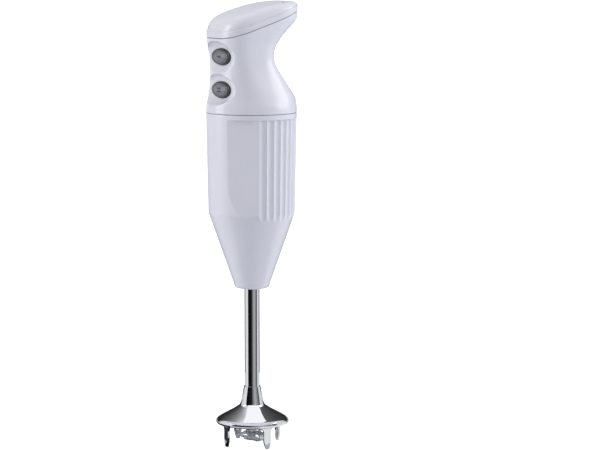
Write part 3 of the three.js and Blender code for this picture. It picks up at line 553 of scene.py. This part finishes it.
button_half_width_mm = 14.0
button_half_height_mm = 6.1
button_gap_mm = 0.3
hole_half_width_mm = button_half_width_mm + button_gap_mm
hole_half_height_mm = button_half_height_mm + button_gap_mm
for z in button_heights_mm:
    combine(handle, oval_bar("button_hole", hole_half_width_mm, hole_half_height_mm, -40, -18, z))
gland_z_mm = 331.3
gland_hole_mm = 4.1
combine(handle, oval_bar("gland_hole", gland_hole_mm, gland_hole_mm, 26, 36, gland_z_mm))
dress(handle, gloss_white_abs, "housing", "white_shell", "handle_shell")

# ------------------------------------------------------------------ cover
# The domed cap of the handle, moulded in the same white ABS, on a sloping seam. It has an upright
# band, then a low dome that flattens towards the back, and two deep recesses for its screws.

seam_gap_mm = 0.45
cover_band_mm = 4.8
crown_mm = 7.9  # the dome's rise above the band at Y = 0
crown_lean = 0.08  # and how that rise falls away along Y
crown_bow = 0.0024
crown_roundness = 9  # the higher, the tighter the dome's rounded edge
cover_ledge = 0.975  # the crown starts a little inside the band, which leaves a fine crease
screw_x_mm = 16.0
screw_y_mm = 19.0
cover_turns = np.linspace(0, 2 * math.pi, 240, endpoint=False)


def seam_outline(turns, depth=0.0):
    """x and y of the handle's outline where it meets the sloping seam, moved in by depth."""
    z = np.full(turns.size, seam_z_mm)
    for _ in range(8):
        x, y = handle_outline(turns, z, depth)
        z = seam_height(y)
    return x, y


cover_middle_mm = float(seam_outline(np.radians([-90.0, 90.0]))[1].mean())


def cover_ring(share, rise, depth=0.0):
    """One ring of the cover: its outline shrunk to a share, lifted above the seam by rise(y)."""
    x, y = seam_outline(cover_turns, depth)
    x, y = x * share, cover_middle_mm + (y - cover_middle_mm) * share
    return np.stack([x, y, seam_height(y) + rise(y)], axis=1)


def top_rise(share, drop=0.0):
    """The cover's top above the seam: a crown that falls away along Y, rounded at its edge."""
    bulge = math.sqrt(max(0.0, 1 - share ** crown_roundness))
    return lambda y: cover_band_mm - drop + (crown_mm - crown_lean * y - crown_bow * y ** 2) * bulge


band_heights = np.linspace(seam_gap_mm + 0.2, cover_band_mm - 0.3, 6)
cover_rings = [cover_ring(1.0, lambda y, h=h: h) for h in band_heights]
cover_rings.append(cover_ring(0.9965, lambda y: cover_band_mm - 0.05))
for share in cover_ledge - cover_ledge * np.linspace(0.0, 1.0, 48)[:-1] ** 2.6:
    cover_rings.append(cover_ring(share, top_rise(share / cover_ledge)))
cover_rings.append(cover_ring(0.01, top_rise(0.01)))
cover_rings.append(cover_ring(0.01, top_rise(0.01, handle_wall_mm)))
for share in (0.3, 0.6, 0.8, 0.9, 0.96, 1.0):
    cover_rings.append(cover_ring(share, top_rise(share, handle_wall_mm), handle_wall_mm))
cover_rings.append(cover_ring(1.0, lambda y: seam_gap_mm, handle_wall_mm))
cover_rings.append(cover_ring(1.0, lambda y: seam_gap_mm, lip_mm))
cover = skin("cover", cover_rings, True, smooth_angle=40)
screw_floor_mm = seam_height(screw_y_mm) + 3


def turned(name, profile, segments=96, closed=True, **kwargs):
    """A solid of revolution from (radius, height) points that run up the outside."""
    turn = np.linspace(0, 2 * math.pi, segments, endpoint=False)
    rings = [
        np.stack([r * np.cos(turn), r * np.sin(turn), np.full(segments, z)], axis=1) for r, z in profile
    ]
    return skin(name, rings, closed, **kwargs)


for side in (-1, 1):
    well = turned("screw_well", [
        (0.01, 348.0), (0.01, 318.0), (1.7, 318.0), (1.7, screw_floor_mm), (2.9, screw_floor_mm),
        (3.0, 348.0),
    ], segments=48)
    well.location = (side * screw_x_mm / 1000, screw_y_mm / 1000, 0)
    combine(cover, well)
combine(cover, oval_bar("gland_hole", gland_hole_mm, gland_hole_mm, 26, 36, gland_z_mm))
dress(cover, gloss_white_abs, "housing", "white_shell", "top_cover")

# ------------------------------------------------------------------ cover screws
# Two zinc-plated pan-head screws at the bottom of the cover's recesses. Each has a cross recess
# and a turned head with a rounded edge.

# Zinc plate: a soft grey shine, clouded where one crystal meets the next.
zinc_plated_steel = finish("zinc_plated_steel", "#B9BDC2", 0.32, metallic=1.0, grain_mm=1.5, shade=0.85)

for side, name in ((-1, "cover_screw_left"), (1, "cover_screw_right")):
    foot = screw_floor_mm + 0.1
    screw = turned(name, [
        (0.01, foot - 12), (1.0, foot - 12), (1.5, foot - 11), (1.5, foot), (2.5, foot), (2.5, foot + 0.9),
        *arc((1.7, foot + 0.9), 0.8, 15, 80, 6), (0.01, foot + 1.8),
    ], segments=48, closed=False)
    for turn in (45, 135):
        slot = oval_bar("slot", 1.5, 0.33, -0.9, 0.9, 0)
        slot.rotation_euler = (math.radians(90), 0, math.radians(turn))
        slot.location = (0, 0, (foot + 1.8) / 1000)
        combine(screw, slot)
    screw.location = (side * screw_x_mm / 1000, screw_y_mm / 1000, 0)
    dress(screw, zinc_plated_steel, "housing", "screw_steel", name)

# ------------------------------------------------------------------ seals
# Thin grey rubber rings: one lies in the groove between cover and handle, the other in the groove
# between handle and barrel. Only a fine grey line of each shows.

# Moulded rubber: dull all over, so the seams read as fine flat grey lines.
moulded_grey_rubber = finish("moulded_grey_rubber", "#85878D", 0.75, grain_mm=3, bump_mm=0.02, shade=0.9)


def seal_ring(depth, lift):
    """One ring of the cover's seal, moved in by depth and lifted above the seam."""
    x, y = seam_outline(cover_turns, depth)
    return np.stack([x, y, seam_height(y) + lift], axis=1)


cover_seal = skin("cover_seal", [
    seal_ring(0.75, 0.03), seal_ring(0.65, 0.12), seal_ring(0.65, 0.33), seal_ring(0.75, 0.42),
    seal_ring(2.2, 0.42), seal_ring(2.2, 0.03),
], True)
combine(cover_seal, oval_bar("gland_hole", gland_hole_mm, gland_hole_mm, 26, 36, gland_z_mm))
dress(cover_seal, moulded_grey_rubber, "housing", "grey_rubber", "cover_seal")

collar_seal = turned("collar_seal", [
    (31.3, 256.24), (33.7, 256.24), (33.85, 256.32), (33.85, 256.48), (33.7, 256.56), (31.3, 256.56),
], segments=180)
dress(collar_seal, moulded_grey_rubber, "housing", "grey_rubber", "collar_seal")

# ------------------------------------------------------------------ cord gland
# A black rubber bush with rounded lips, pressed into the hole at the back of the hook. The mains
# lead would pass through it.

# Black rubber from a matt mould: near black, with a wide dim sheen.
moulded_black_rubber = finish("moulded_black_rubber", "#242528", 0.7, grain_mm=2, bump_mm=0.03, shade=0.8)

gland = turned("cord_gland", [
    *arc((3.5, 27.7), 0.3, 180, 270, 5), *arc((4.3, 27.7), 0.3, 270, 360, 5), (4.6, 28.8), (3.9, 28.8),
    *arc((3.5, 34.0), 0.4, 0, 180, 9)[:-1], (3.2, 33.8),
], segments=72)
gland.rotation_euler = (math.radians(-90), 0, 0)
gland.location = (0, 0, gland_z_mm / 1000)
dress(gland, moulded_black_rubber, "housing", "black_rubber", "cord_gland")

# ------------------------------------------------------------------ buttons
# Two oval push caps, moulded in grey ABS and finely ribbed in rings so that a thumb grips them. A
# flange behind keeps each cap in its hole. Dashes count the speed: one above, two below.

# Satin from a spark-eroded mould: a soft highlight that picks out the crest of each rib.
satin_grey_abs = finish(
    "satin_grey_abs", "#7E8085", 0.28, ior=1.53, grain_mm=0.8, bump_mm=0.01, shade=0.85,
)
# Painted shadow: the dashes are near black, standing in for the shade that their relief throws, so that
# they read against the grey.
painted_shadow_dash_abs = finish("painted_shadow_dash_abs", "#26272A", 0.4, ior=1.53, grain_mm=0.8, shade=0.8)
button_face_mm = -28.4
button_rim_mm = -27.0  # where the crowned face meets the rounded edge of the cap
button_round_mm = 0.6
flange_mm = 1.0
flange_front_mm, flange_back_mm = -23.2, -21.9
rib_pitch_mm = 1.5  # finer in life; this is as fine as shows
rib_height_mm = 0.34
button_turns = np.linspace(0, 2 * math.pi, 144, endpoint=False)

# Painted shade: the wall of each cap and the outer ring of its face darken to near black, standing in for
# the shade in the gap round the cap.
cap_tree = satin_grey_abs.node_tree
cap_place = add_node(cap_tree, "ShaderNodeTexCoord")
cap_axes = add_node(cap_tree, "ShaderNodeSeparateXYZ", {0: cap_place.outputs["Object"]})
cap_painted_shade = add_node(cap_tree, "ShaderNodeMapRange", {
    "Value": cap_axes.outputs["Y"], "To Min": 0.0, "To Max": 1.0,
    "From Min": (button_face_mm + 0.2) / 1000, "From Max": (button_rim_mm - 0.2) / 1000,
})
cap_shader = cap_tree.nodes["Principled BSDF"]
cap_grey = cap_shader.inputs["Base Color"].links[0].from_socket
# The near black mixed in here is painted shade, not the cap's own colour.
cap_shaded_colour = add_node(cap_tree, "ShaderNodeMix", {
    0: cap_painted_shade.outputs["Result"], 6: cap_grey, 7: srgb("#111214"),
}, data_type="RGBA")
cap_tree.links.new(cap_shaded_colour.outputs[2], cap_shader.inputs["Base Color"])


def button_ring(inset, y):
    """An oval ring of the button, the given distance in from its edge, at depth y.

    Rings inside the edge keep its proportions; the flange, outside it, is equally wide all round.
    """
    aside = inset * button_half_width_mm / button_half_height_mm if inset > 0 else inset
    x = (button_half_width_mm - aside) * np.cos(button_turns)
    z = (button_half_height_mm - inset) * np.sin(button_turns)
    return np.stack([x, np.full(button_turns.size, y), z], axis=1)


for name, body, height, bars in (
    ("button_speed_1", "button_1", button_heights_mm[0], 1),
    ("button_speed_2", "button_2", button_heights_mm[1], 2),
):
    rings = [
        button_ring(-flange_mm, flange_back_mm), button_ring(-flange_mm, flange_front_mm),
        button_ring(0.0, flange_front_mm),
    ]
    for t in np.radians(np.linspace(0, 90, 6)):
        inset = button_round_mm * (1 - math.cos(t))
        rings.append(button_ring(inset, button_rim_mm + button_round_mm * (1 - math.sin(t))))
    for inset in np.linspace(button_round_mm, button_half_height_mm - 0.1, 64)[1:]:
        share = (inset - button_round_mm) / (button_half_height_mm - button_round_mm)
        crown = button_rim_mm + (button_face_mm - button_rim_mm) * math.sqrt(1 - (1 - share) ** 2)
        rib = rib_height_mm * abs(math.sin(math.pi * (inset - button_round_mm) / rib_pitch_mm))
        rings.append(button_ring(inset, crown + rib_height_mm - rib))
    rings = [ring[::-1] for ring in rings]
    cap = skin(name, rings, False, smooth_angle=50)
    cap.location = (0, 0, height / 1000)
    dress(cap, satin_grey_abs, body, "grey_button", name)
    for i in range(bars):
        lift = (i - (bars - 1) / 2) * 2.4
        layers = [(2.6, 0.45, -27.6), (2.6, 0.45, -28.5), (2.52, 0.38, -28.6), (2.35, 0.25, -28.65)]
        c, s = np.cos(button_turns), np.sin(button_turns)
        dash = skin(f"{name}_dash_{i + 1}", [
            np.stack([
                half_x * np.sign(c) * np.abs(c) ** 0.35, np.full(c.size, y),
                half_z * np.sign(s) * np.abs(s) ** 0.35 + lift,
            ], axis=1)[::-1] for half_x, half_z, y in layers
        ], False)
        dash.location = cap.location
        # Each dash takes the near black of painted shadow.
        dress(dash, painted_shadow_dash_abs, body, "grey_button")

# ------------------------------------------------------------------ nose ring
# A white ring, pressed in to close the gap between the barrel's nose and the steel tube. It is
# moulded in the same ABS as the barrel, but not polished.

# Unpolished moulding: the same white with its highlights spread out.
satin_white_abs = finish("satin_white_abs", "#D6D6DC", 0.45, ior=1.53, grain_mm=3, bump_mm=0.01, shade=0.97)

nose_ring = turned("nose_ring", [
    (5.98, 122.2), (7.0, 121.7), *arc((8.6, 122.0), 0.4, 250, 290, 4), (9.55, 122.5), (9.6, 122.8),
    (9.6, 126.0), (5.98, 126.0),
])
dress(nose_ring, satin_white_abs, "housing", "white_inner", "nose_ring")

# ------------------------------------------------------------------ shaft tube
# A drawn stainless tube, mirror polished. A nut holds its upper end inside the barrel's nose, and
# its foot sits in the guard's neck.

# Buffed on a wheel: black and white reflections with sharp edges, blurred a little by hair-fine
# lines round the tube.
mirror_polished_steel = finish(
    "mirror_polished_steel", "#D3D5D9", 0.07, metallic=1.0, spread=0.03, grain_mm=4, shade=0.96,
    stretch=(0.3, 0.3, 3),
)

tube = turned("shaft_tube", [
    (4.9, 33.5), (5.7, 33.5), (5.85, 33.65), *[(5.85, z) for z in np.linspace(40, 136, 9)], (5.85, 141.15),
    (5.7, 141.3), (4.9, 141.3),
], segments=192)
dress(tube, mirror_polished_steel, "housing", "polished_steel", "shaft_tube")

# ------------------------------------------------------------------ blade guard
# A bell pressed from stainless sheet with a turned neck and four prongs, all polished together.
# The prongs are plates with softened edges that stand on narrow tips.

prong_radius_mm = 22.5
bell_outside = smooth_curve([
    (7.9, 38.3), (8.7, 34.3), (9.15, 32.7), (9.9, 31.2), (11.8, 29.6), (25.3, 22.1), (26.6, 21.3),
])
bell = turned("blade_guard", [
    (4.7, 26.4), (8.2, 26.4), (8.2, 28.1), (8.4, 28.15), (11, 27.75), (24.6, 20.4), (26.4, 17.3),
    *arc((27.1, 17.5), 0.5, 215, 325, 8), (28.05, 18.1), (28.2, 18.6), (28.15, 19.1), (27.8, 19.8),
    (27.3, 20.5), *[(r, float(bell_outside(r))) for r in np.linspace(26.4, 8.0, 48)],
    *[(r, z) for r, z in ((7.8, 38.9), (7.35, 41.2), (6.9, 43.4), (6.55, 45.2))], (6.45, 45.5),
    (6.3, 45.6), (5.97, 45.6), (5.97, 33.2), (4.7, 33.2),
], segments=192, smooth_angle=35)

prong_half = smooth_curve([
    (0, 1.25), (0.9, 1.6), (3.5, 2.5), (6.6, 3.1), (10, 3.15), (13.2, 3.2), (15.3, 4.3), (17.4, 7.0),
    (22.6, 7.4),
])
prong_z = np.concatenate([[0.0, 0.25], np.linspace(0.7, 13.2, 18), np.linspace(13.8, 20.2, 9)])
for quarter in range(4):
    layers = []
    for depth, inset in ((-0.9, 0.3), (-0.8, 0.09), (-0.6, 0.0), (0.6, 0.0), (0.8, 0.09), (0.9, 0.3)):
        half = prong_half(prong_z) - inset
        half[0] -= 0.25
        low = np.maximum(prong_z, inset * 0.6)
        x = np.concatenate([-half[::-1], half])
        z = np.concatenate([low[::-1], low])
        y = np.full(x.size, -prong_radius_mm - depth)
        layers.append(np.stack([x, y, z], axis=1))
    prong = skin("prong", layers, False, smooth_angle=35)
    prong.rotation_euler = (0, 0, quarter * math.pi / 2)
    combine(bell, prong, "UNION")
bell.data.shade_smooth()
bell.data.set_sharp_from_angle(angle=math.radians(35))
dress(bell, mirror_polished_steel, "housing", "polished_steel", "blade_guard")

# ------------------------------------------------------------------ cutter
# A turned hub with a slot that fits over the drive pin, and a blade pressed from stainless strip
# that folds under the hub and is held in a groove round it.

# Ground along the strip: straight fine lines that stretch each highlight into a soft streak.
ground_cutter_steel = finish(
    "ground_cutter_steel", "#D4D6DA", 0.33, metallic=1.0, spread=0.08, grain_mm=2, shade=0.88,
    stretch=(0.15, 2.5, 2.5),
)
cutter_turn = math.radians(10)
sheet_mm = 1.0
edge_mm = 0.16  # bevel left by the grinding
strip_top_mm, strip_low_mm, fold_x_mm = 10.0, 3.6, 9.2

hub = turned("cutter_hub", [
    (3.12, 6.9), (4.3, 6.9), (4.4, 7.0), (4.4, 8.9), (3.8, 8.9), (3.8, 10.1), (4.85, 10.1), (5.0, 10.25),
    (5.0, 21.9), (4.85, 22.3), (4.6, 22.4), (3.12, 22.4),
])
combine(hub, mesh_object("slot", [
    (x, y, z) for z in (18.2, 24.0) for x, y in ((-8, -1.15), (8, -1.15), (8, 1.15), (-8, 1.15))
], [(3, 2, 1, 0), (4, 5, 6, 7), (0, 1, 5, 4), (1, 2, 6, 5), (2, 3, 7, 6), (3, 0, 4, 7)]))
hub.rotation_euler = (0, 0, cutter_turn)
dress(hub, ground_cutter_steel, "cutter", "cutter_steel", "cutter_hub")


def plate_piece(name, outline, bottom, top, bevel=edge_mm):
    """A flat plate from its outline, anticlockwise, with a small bevel all round both faces."""
    points = np.asarray(outline, float)
    side = np.roll(points, -1, axis=0) - points
    out = np.stack([side[:, 1], -side[:, 0]], axis=1) / np.linalg.norm(side, axis=1)[:, None]
    corner = out + np.roll(out, 1, axis=0)
    corner /= np.maximum(np.sum(corner * out, axis=1), 0.35)[:, None]
    layers = []
    for z, inset in ((bottom, bevel), (bottom + bevel, 0), (top - bevel, 0), (top, bevel)):
        ring = points - corner * inset
        layers.append(np.column_stack([ring, np.full(len(ring), z)]))
    return skin(name, layers, False)


centre_mm = (strip_top_mm + strip_low_mm) / 2
bend_mm = (strip_top_mm - strip_low_mm - sheet_mm) / 2
path = [(x, strip_top_mm - sheet_mm / 2, 0) for x in np.linspace(-5, fold_x_mm, 16)[:-1]]
path += [
    (fold_x_mm + bend_mm * math.sin(t), centre_mm + bend_mm * math.cos(t), math.degrees(t))
    for t in np.radians(np.linspace(0, 180, 17))
]
path += [(x, strip_low_mm + sheet_mm / 2, 180) for x in np.linspace(fold_x_mm, -13.4, 26)[1:]]
top_width = smooth_curve([(-5, 5), (0, 5), (3, 3.6), (16, 3.6)])
low_width = smooth_curve([(-13.4, 0.7), (-12.8, 1.3), (-6, 3.5), (-4.6, 5), (0, 5), (3, 3.6), (16, 3.6)])
rings = []
thick = sheet_mm / 2
for x, z, lean in path:
    half = float((low_width if lean == 180 else top_width)(x))
    out = np.array([math.sin(math.radians(lean)), 0, math.cos(math.radians(lean))])
    middle = np.array([x, 0, z])
    rings.append([
        middle + np.array([0, y, 0]) + out * t for y, t in (
            (-half, edge_mm - thick), (-half, thick - edge_mm), (edge_mm - half, thick),
            (half - edge_mm, thick), (half, thick - edge_mm), (half, edge_mm - thick),
            (half - edge_mm, -thick), (edge_mm - half, -thick),
        )
    ])
blade = skin("cutter_blade", rings, False, smooth_angle=32)
flat_arm = plate_piece("flat_arm", [
    (3.0, -3.4), (4.2, -3.4), (16.2, -1.2), (16.8, -0.7), (17, 0), (16.8, 0.7), (16.2, 1.2), (4.2, 3.4),
    (3.0, 3.4),
], strip_top_mm - sheet_mm, strip_top_mm)
flat_arm.rotation_euler = (0, 0, math.radians(-90))
raised_root = plate_piece("raised_root", [(3, -3.4), (6.7, -3.4), (6.7, 3.4), (3, 3.4)], 9.0, 10.0)
raised_root.rotation_euler = (0, 0, math.radians(90))
raised_arm = plate_piece("raised_arm", [
    (0, -3.4), (9.8, -1.3), (10.4, -0.7), (10.6, 0), (10.4, 0.7), (9.8, 1.3), (0, 3.4),
], 0, sheet_mm)
raised_arm.rotation_euler = (0, math.radians(-52), math.radians(90))
raised_arm.location = (0, 0.0062, 0.009)
for extra in (flat_arm, raised_root, raised_arm):
    combine(blade, extra, "UNION")
hub_hole = [(0.01, 8.2), (3.95, 8.2), (3.95, 11), (0.01, 11)]
combine(blade, turned("hub_hole", hub_hole, segments=64, closed=False))
blade.data.shade_smooth()
blade.data.set_sharp_from_angle(angle=math.radians(32))
blade.rotation_euler = (0, 0, cutter_turn)
dress(blade, ground_cutter_steel, "cutter", "cutter_steel", "cutter_blade")

# ------------------------------------------------------------------ inside: switches
# A glass-fibre board behind the buttons carries two black microswitches, a blue dipped capacitor
# and a white terminal block. Drawn springs push the buttons out; two leads run down to the motor.


def coat(material, *names):
    """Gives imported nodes, which keep their own shape, a material."""
    for name in names:
        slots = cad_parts[name].data.materials
        slots.clear()
        slots.append(material)


def banded(name, colour, gap_colour, pitch_mm, direction, roughness, metallic=0.0, gap=0.25, bump_mm=0.05):
    """A material in fine parallel bands, such as stacked sheets or laid wire."""
    made = bpy.data.materials.new(name)
    made.use_nodes = True
    tree = made.node_tree
    shader = tree.nodes["Principled BSDF"]
    shader.inputs["Metallic"].default_value = metallic
    shader.inputs["Roughness"].default_value = roughness
    place = add_node(tree, "ShaderNodeTexCoord")
    wave = add_node(tree, "ShaderNodeTexWave", {
        "Vector": place.outputs["Object"], "Scale": 1000 / pitch_mm / 20, "Distortion": 0.3, "Detail": 1.0,
    }, bands_direction=direction)
    edge = add_node(tree, "ShaderNodeMapRange", {
        "Value": wave.outputs["Fac"], "From Min": 0.0, "From Max": gap, "To Min": 0.0, "To Max": 1.0,
    })
    tint = add_node(tree, "ShaderNodeMix", {
        0: edge.outputs["Result"], 6: srgb(gap_colour), 7: srgb(colour),
    }, data_type="RGBA")
    relief = add_node(tree, "ShaderNodeBump", {"Height": wave.outputs["Fac"], "Distance": bump_mm / 1000})
    tree.links.new(tint.outputs[2], shader.inputs["Base Color"])
    tree.links.new(relief.outputs["Normal"], shader.inputs["Normal"])
    return made


# Etched board: green lacquer, lighter where it lies over a copper track.
etched_glass_fibre_board = banded(
    "etched_glass_fibre_board", "#2F6B46", "#4C8A5E", 2.5, "Z", 0.45, bump_mm=0.03,
)
# Moulded nylon: near black with a half-matt skin.
moulded_black_nylon = finish("moulded_black_nylon", "#1E1F22", 0.5, grain_mm=1.2, shade=0.8)
# Dipped epoxy: a glossy blue coat with the slow waves of a drip.
dipped_blue_epoxy = finish("dipped_blue_epoxy", "#3F6FAE", 0.25, grain_mm=4, bump_mm=0.05, shade=0.9)
# Extruded PVC: smooth, evenly coloured sleeves with a soft shine.
brown_pvc_sleeve = finish("brown_pvc_sleeve", "#6B4226", 0.5, grain_mm=2, shade=0.85)
blue_pvc_sleeve = finish("blue_pvc_sleeve", "#2E5FA8", 0.5, grain_mm=2, shade=0.85)
# Drawn spring steel: thin bright lines along the wire, streaked where the die dragged.
drawn_spring_wire = finish("drawn_spring_wire", "#9DA1A6", 0.3, metallic=1.0, grain_mm=0.6, shade=0.75)

coat(satin_white_abs, "button_frame", "terminal_block")
coat(etched_glass_fibre_board, "switch_board")
coat(moulded_black_nylon, "microswitch_1", "microswitch_2")
coat(dipped_blue_epoxy, "suppression_capacitor")
coat(brown_pvc_sleeve, "motor_lead_brown")
coat(blue_pvc_sleeve, "motor_lead_blue")
coat(zinc_plated_steel, "board_screw_upper", "board_screw_lower", "motor_bolt_left", "motor_bolt_right")
coat(drawn_spring_wire, "button_spring_1", "button_spring_2", "brush_spring_rear", "brush_spring_front")

# ------------------------------------------------------------------ inside: motor
# A universal motor: punched steel sheets stacked into stator and armature, enamelled copper wire,
# sintered bronze and ball bearings, and a commutator on which two carbon brushes ride.

# Punched sheets, stacked: dark lines between bright edges. They are 0.5 mm thick in life, and are
# drawn at 1 mm so that they show.
punched_steel_stack = banded("punched_steel_stack", "#8B8E92", "#3C3D40", 1.0, "Z", 0.45, metallic=1.0)
# Laid wire under clear enamel: warm copper lines with dark gaps. The 0.3 mm wire is drawn at 0.8 mm.
enamelled_copper_wire = banded("enamelled_copper_wire", "#B4683C", "#5E2F18", 0.8, "Z", 0.3, metallic=1.0)
# Turned copper bars: bright orange, parted by dark slots of mica.
commutator_copper_bars = banded("commutator_copper_bars", "#B9744A", "#3A2A22", 2.0, "X", 0.3, metallic=1.0)
# Glass-filled moulding: dark grey, mottled where fibres lie at the skin.
glass_filled_nylon = finish("glass_filled_nylon", "#3A3D42", 0.55, grain_mm=1.5, bump_mm=0.03, shade=0.75)
# Pressed brass: a soft yellow shine.
pressed_brass = finish("pressed_brass", "#C2A35A", 0.3, metallic=1.0, grain_mm=3, shade=0.85)
# Turned steel: bright, with the tool's fine rings round it.
turned_bright_steel = finish(
    "turned_bright_steel", "#B4B7BB", 0.25, metallic=1.0, grain_mm=1.5, shade=0.85, stretch=(0.3, 0.3, 3),
)
# Sintered bronze: brown gold and grainy, since it is pressed from powder and soaked in oil.
sintered_bronze = finish(
    "sintered_bronze", "#A9814A", 0.45, metallic=1.0, grain_mm=0.6, bump_mm=0.02, shade=0.7,
)
# Pressed carbon: dull black with a trace of grey dust.
pressed_carbon = finish("pressed_carbon", "#2B2B2D", 0.7, grain_mm=0.5, shade=0.6)

coat(punched_steel_stack, "stator_core", "armature_core")
coat(enamelled_copper_wire, "field_coil_rear", "field_coil_front", "armature_winding")
coat(commutator_copper_bars, "commutator")
coat(pressed_carbon, "carbon_brush_rear", "carbon_brush_front")
coat(pressed_brass, "brush_holder_rear", "brush_holder_front", "tube_nut")
coat(
    glass_filled_nylon,
    "motor_frame_top", "motor_frame_bottom", "cooling_fan", "coupling_upper", "coupling_lower",
)
coat(moulded_black_rubber, "motor_mount_upper", "motor_mount_lower", "coupling_star", "shaft_seal")
coat(turned_bright_steel, "bearing_top", "bearing_bottom", "motor_shaft", "drive_shaft", "drive_pin")
coat(sintered_bronze, "upper_bush", "lower_bush")
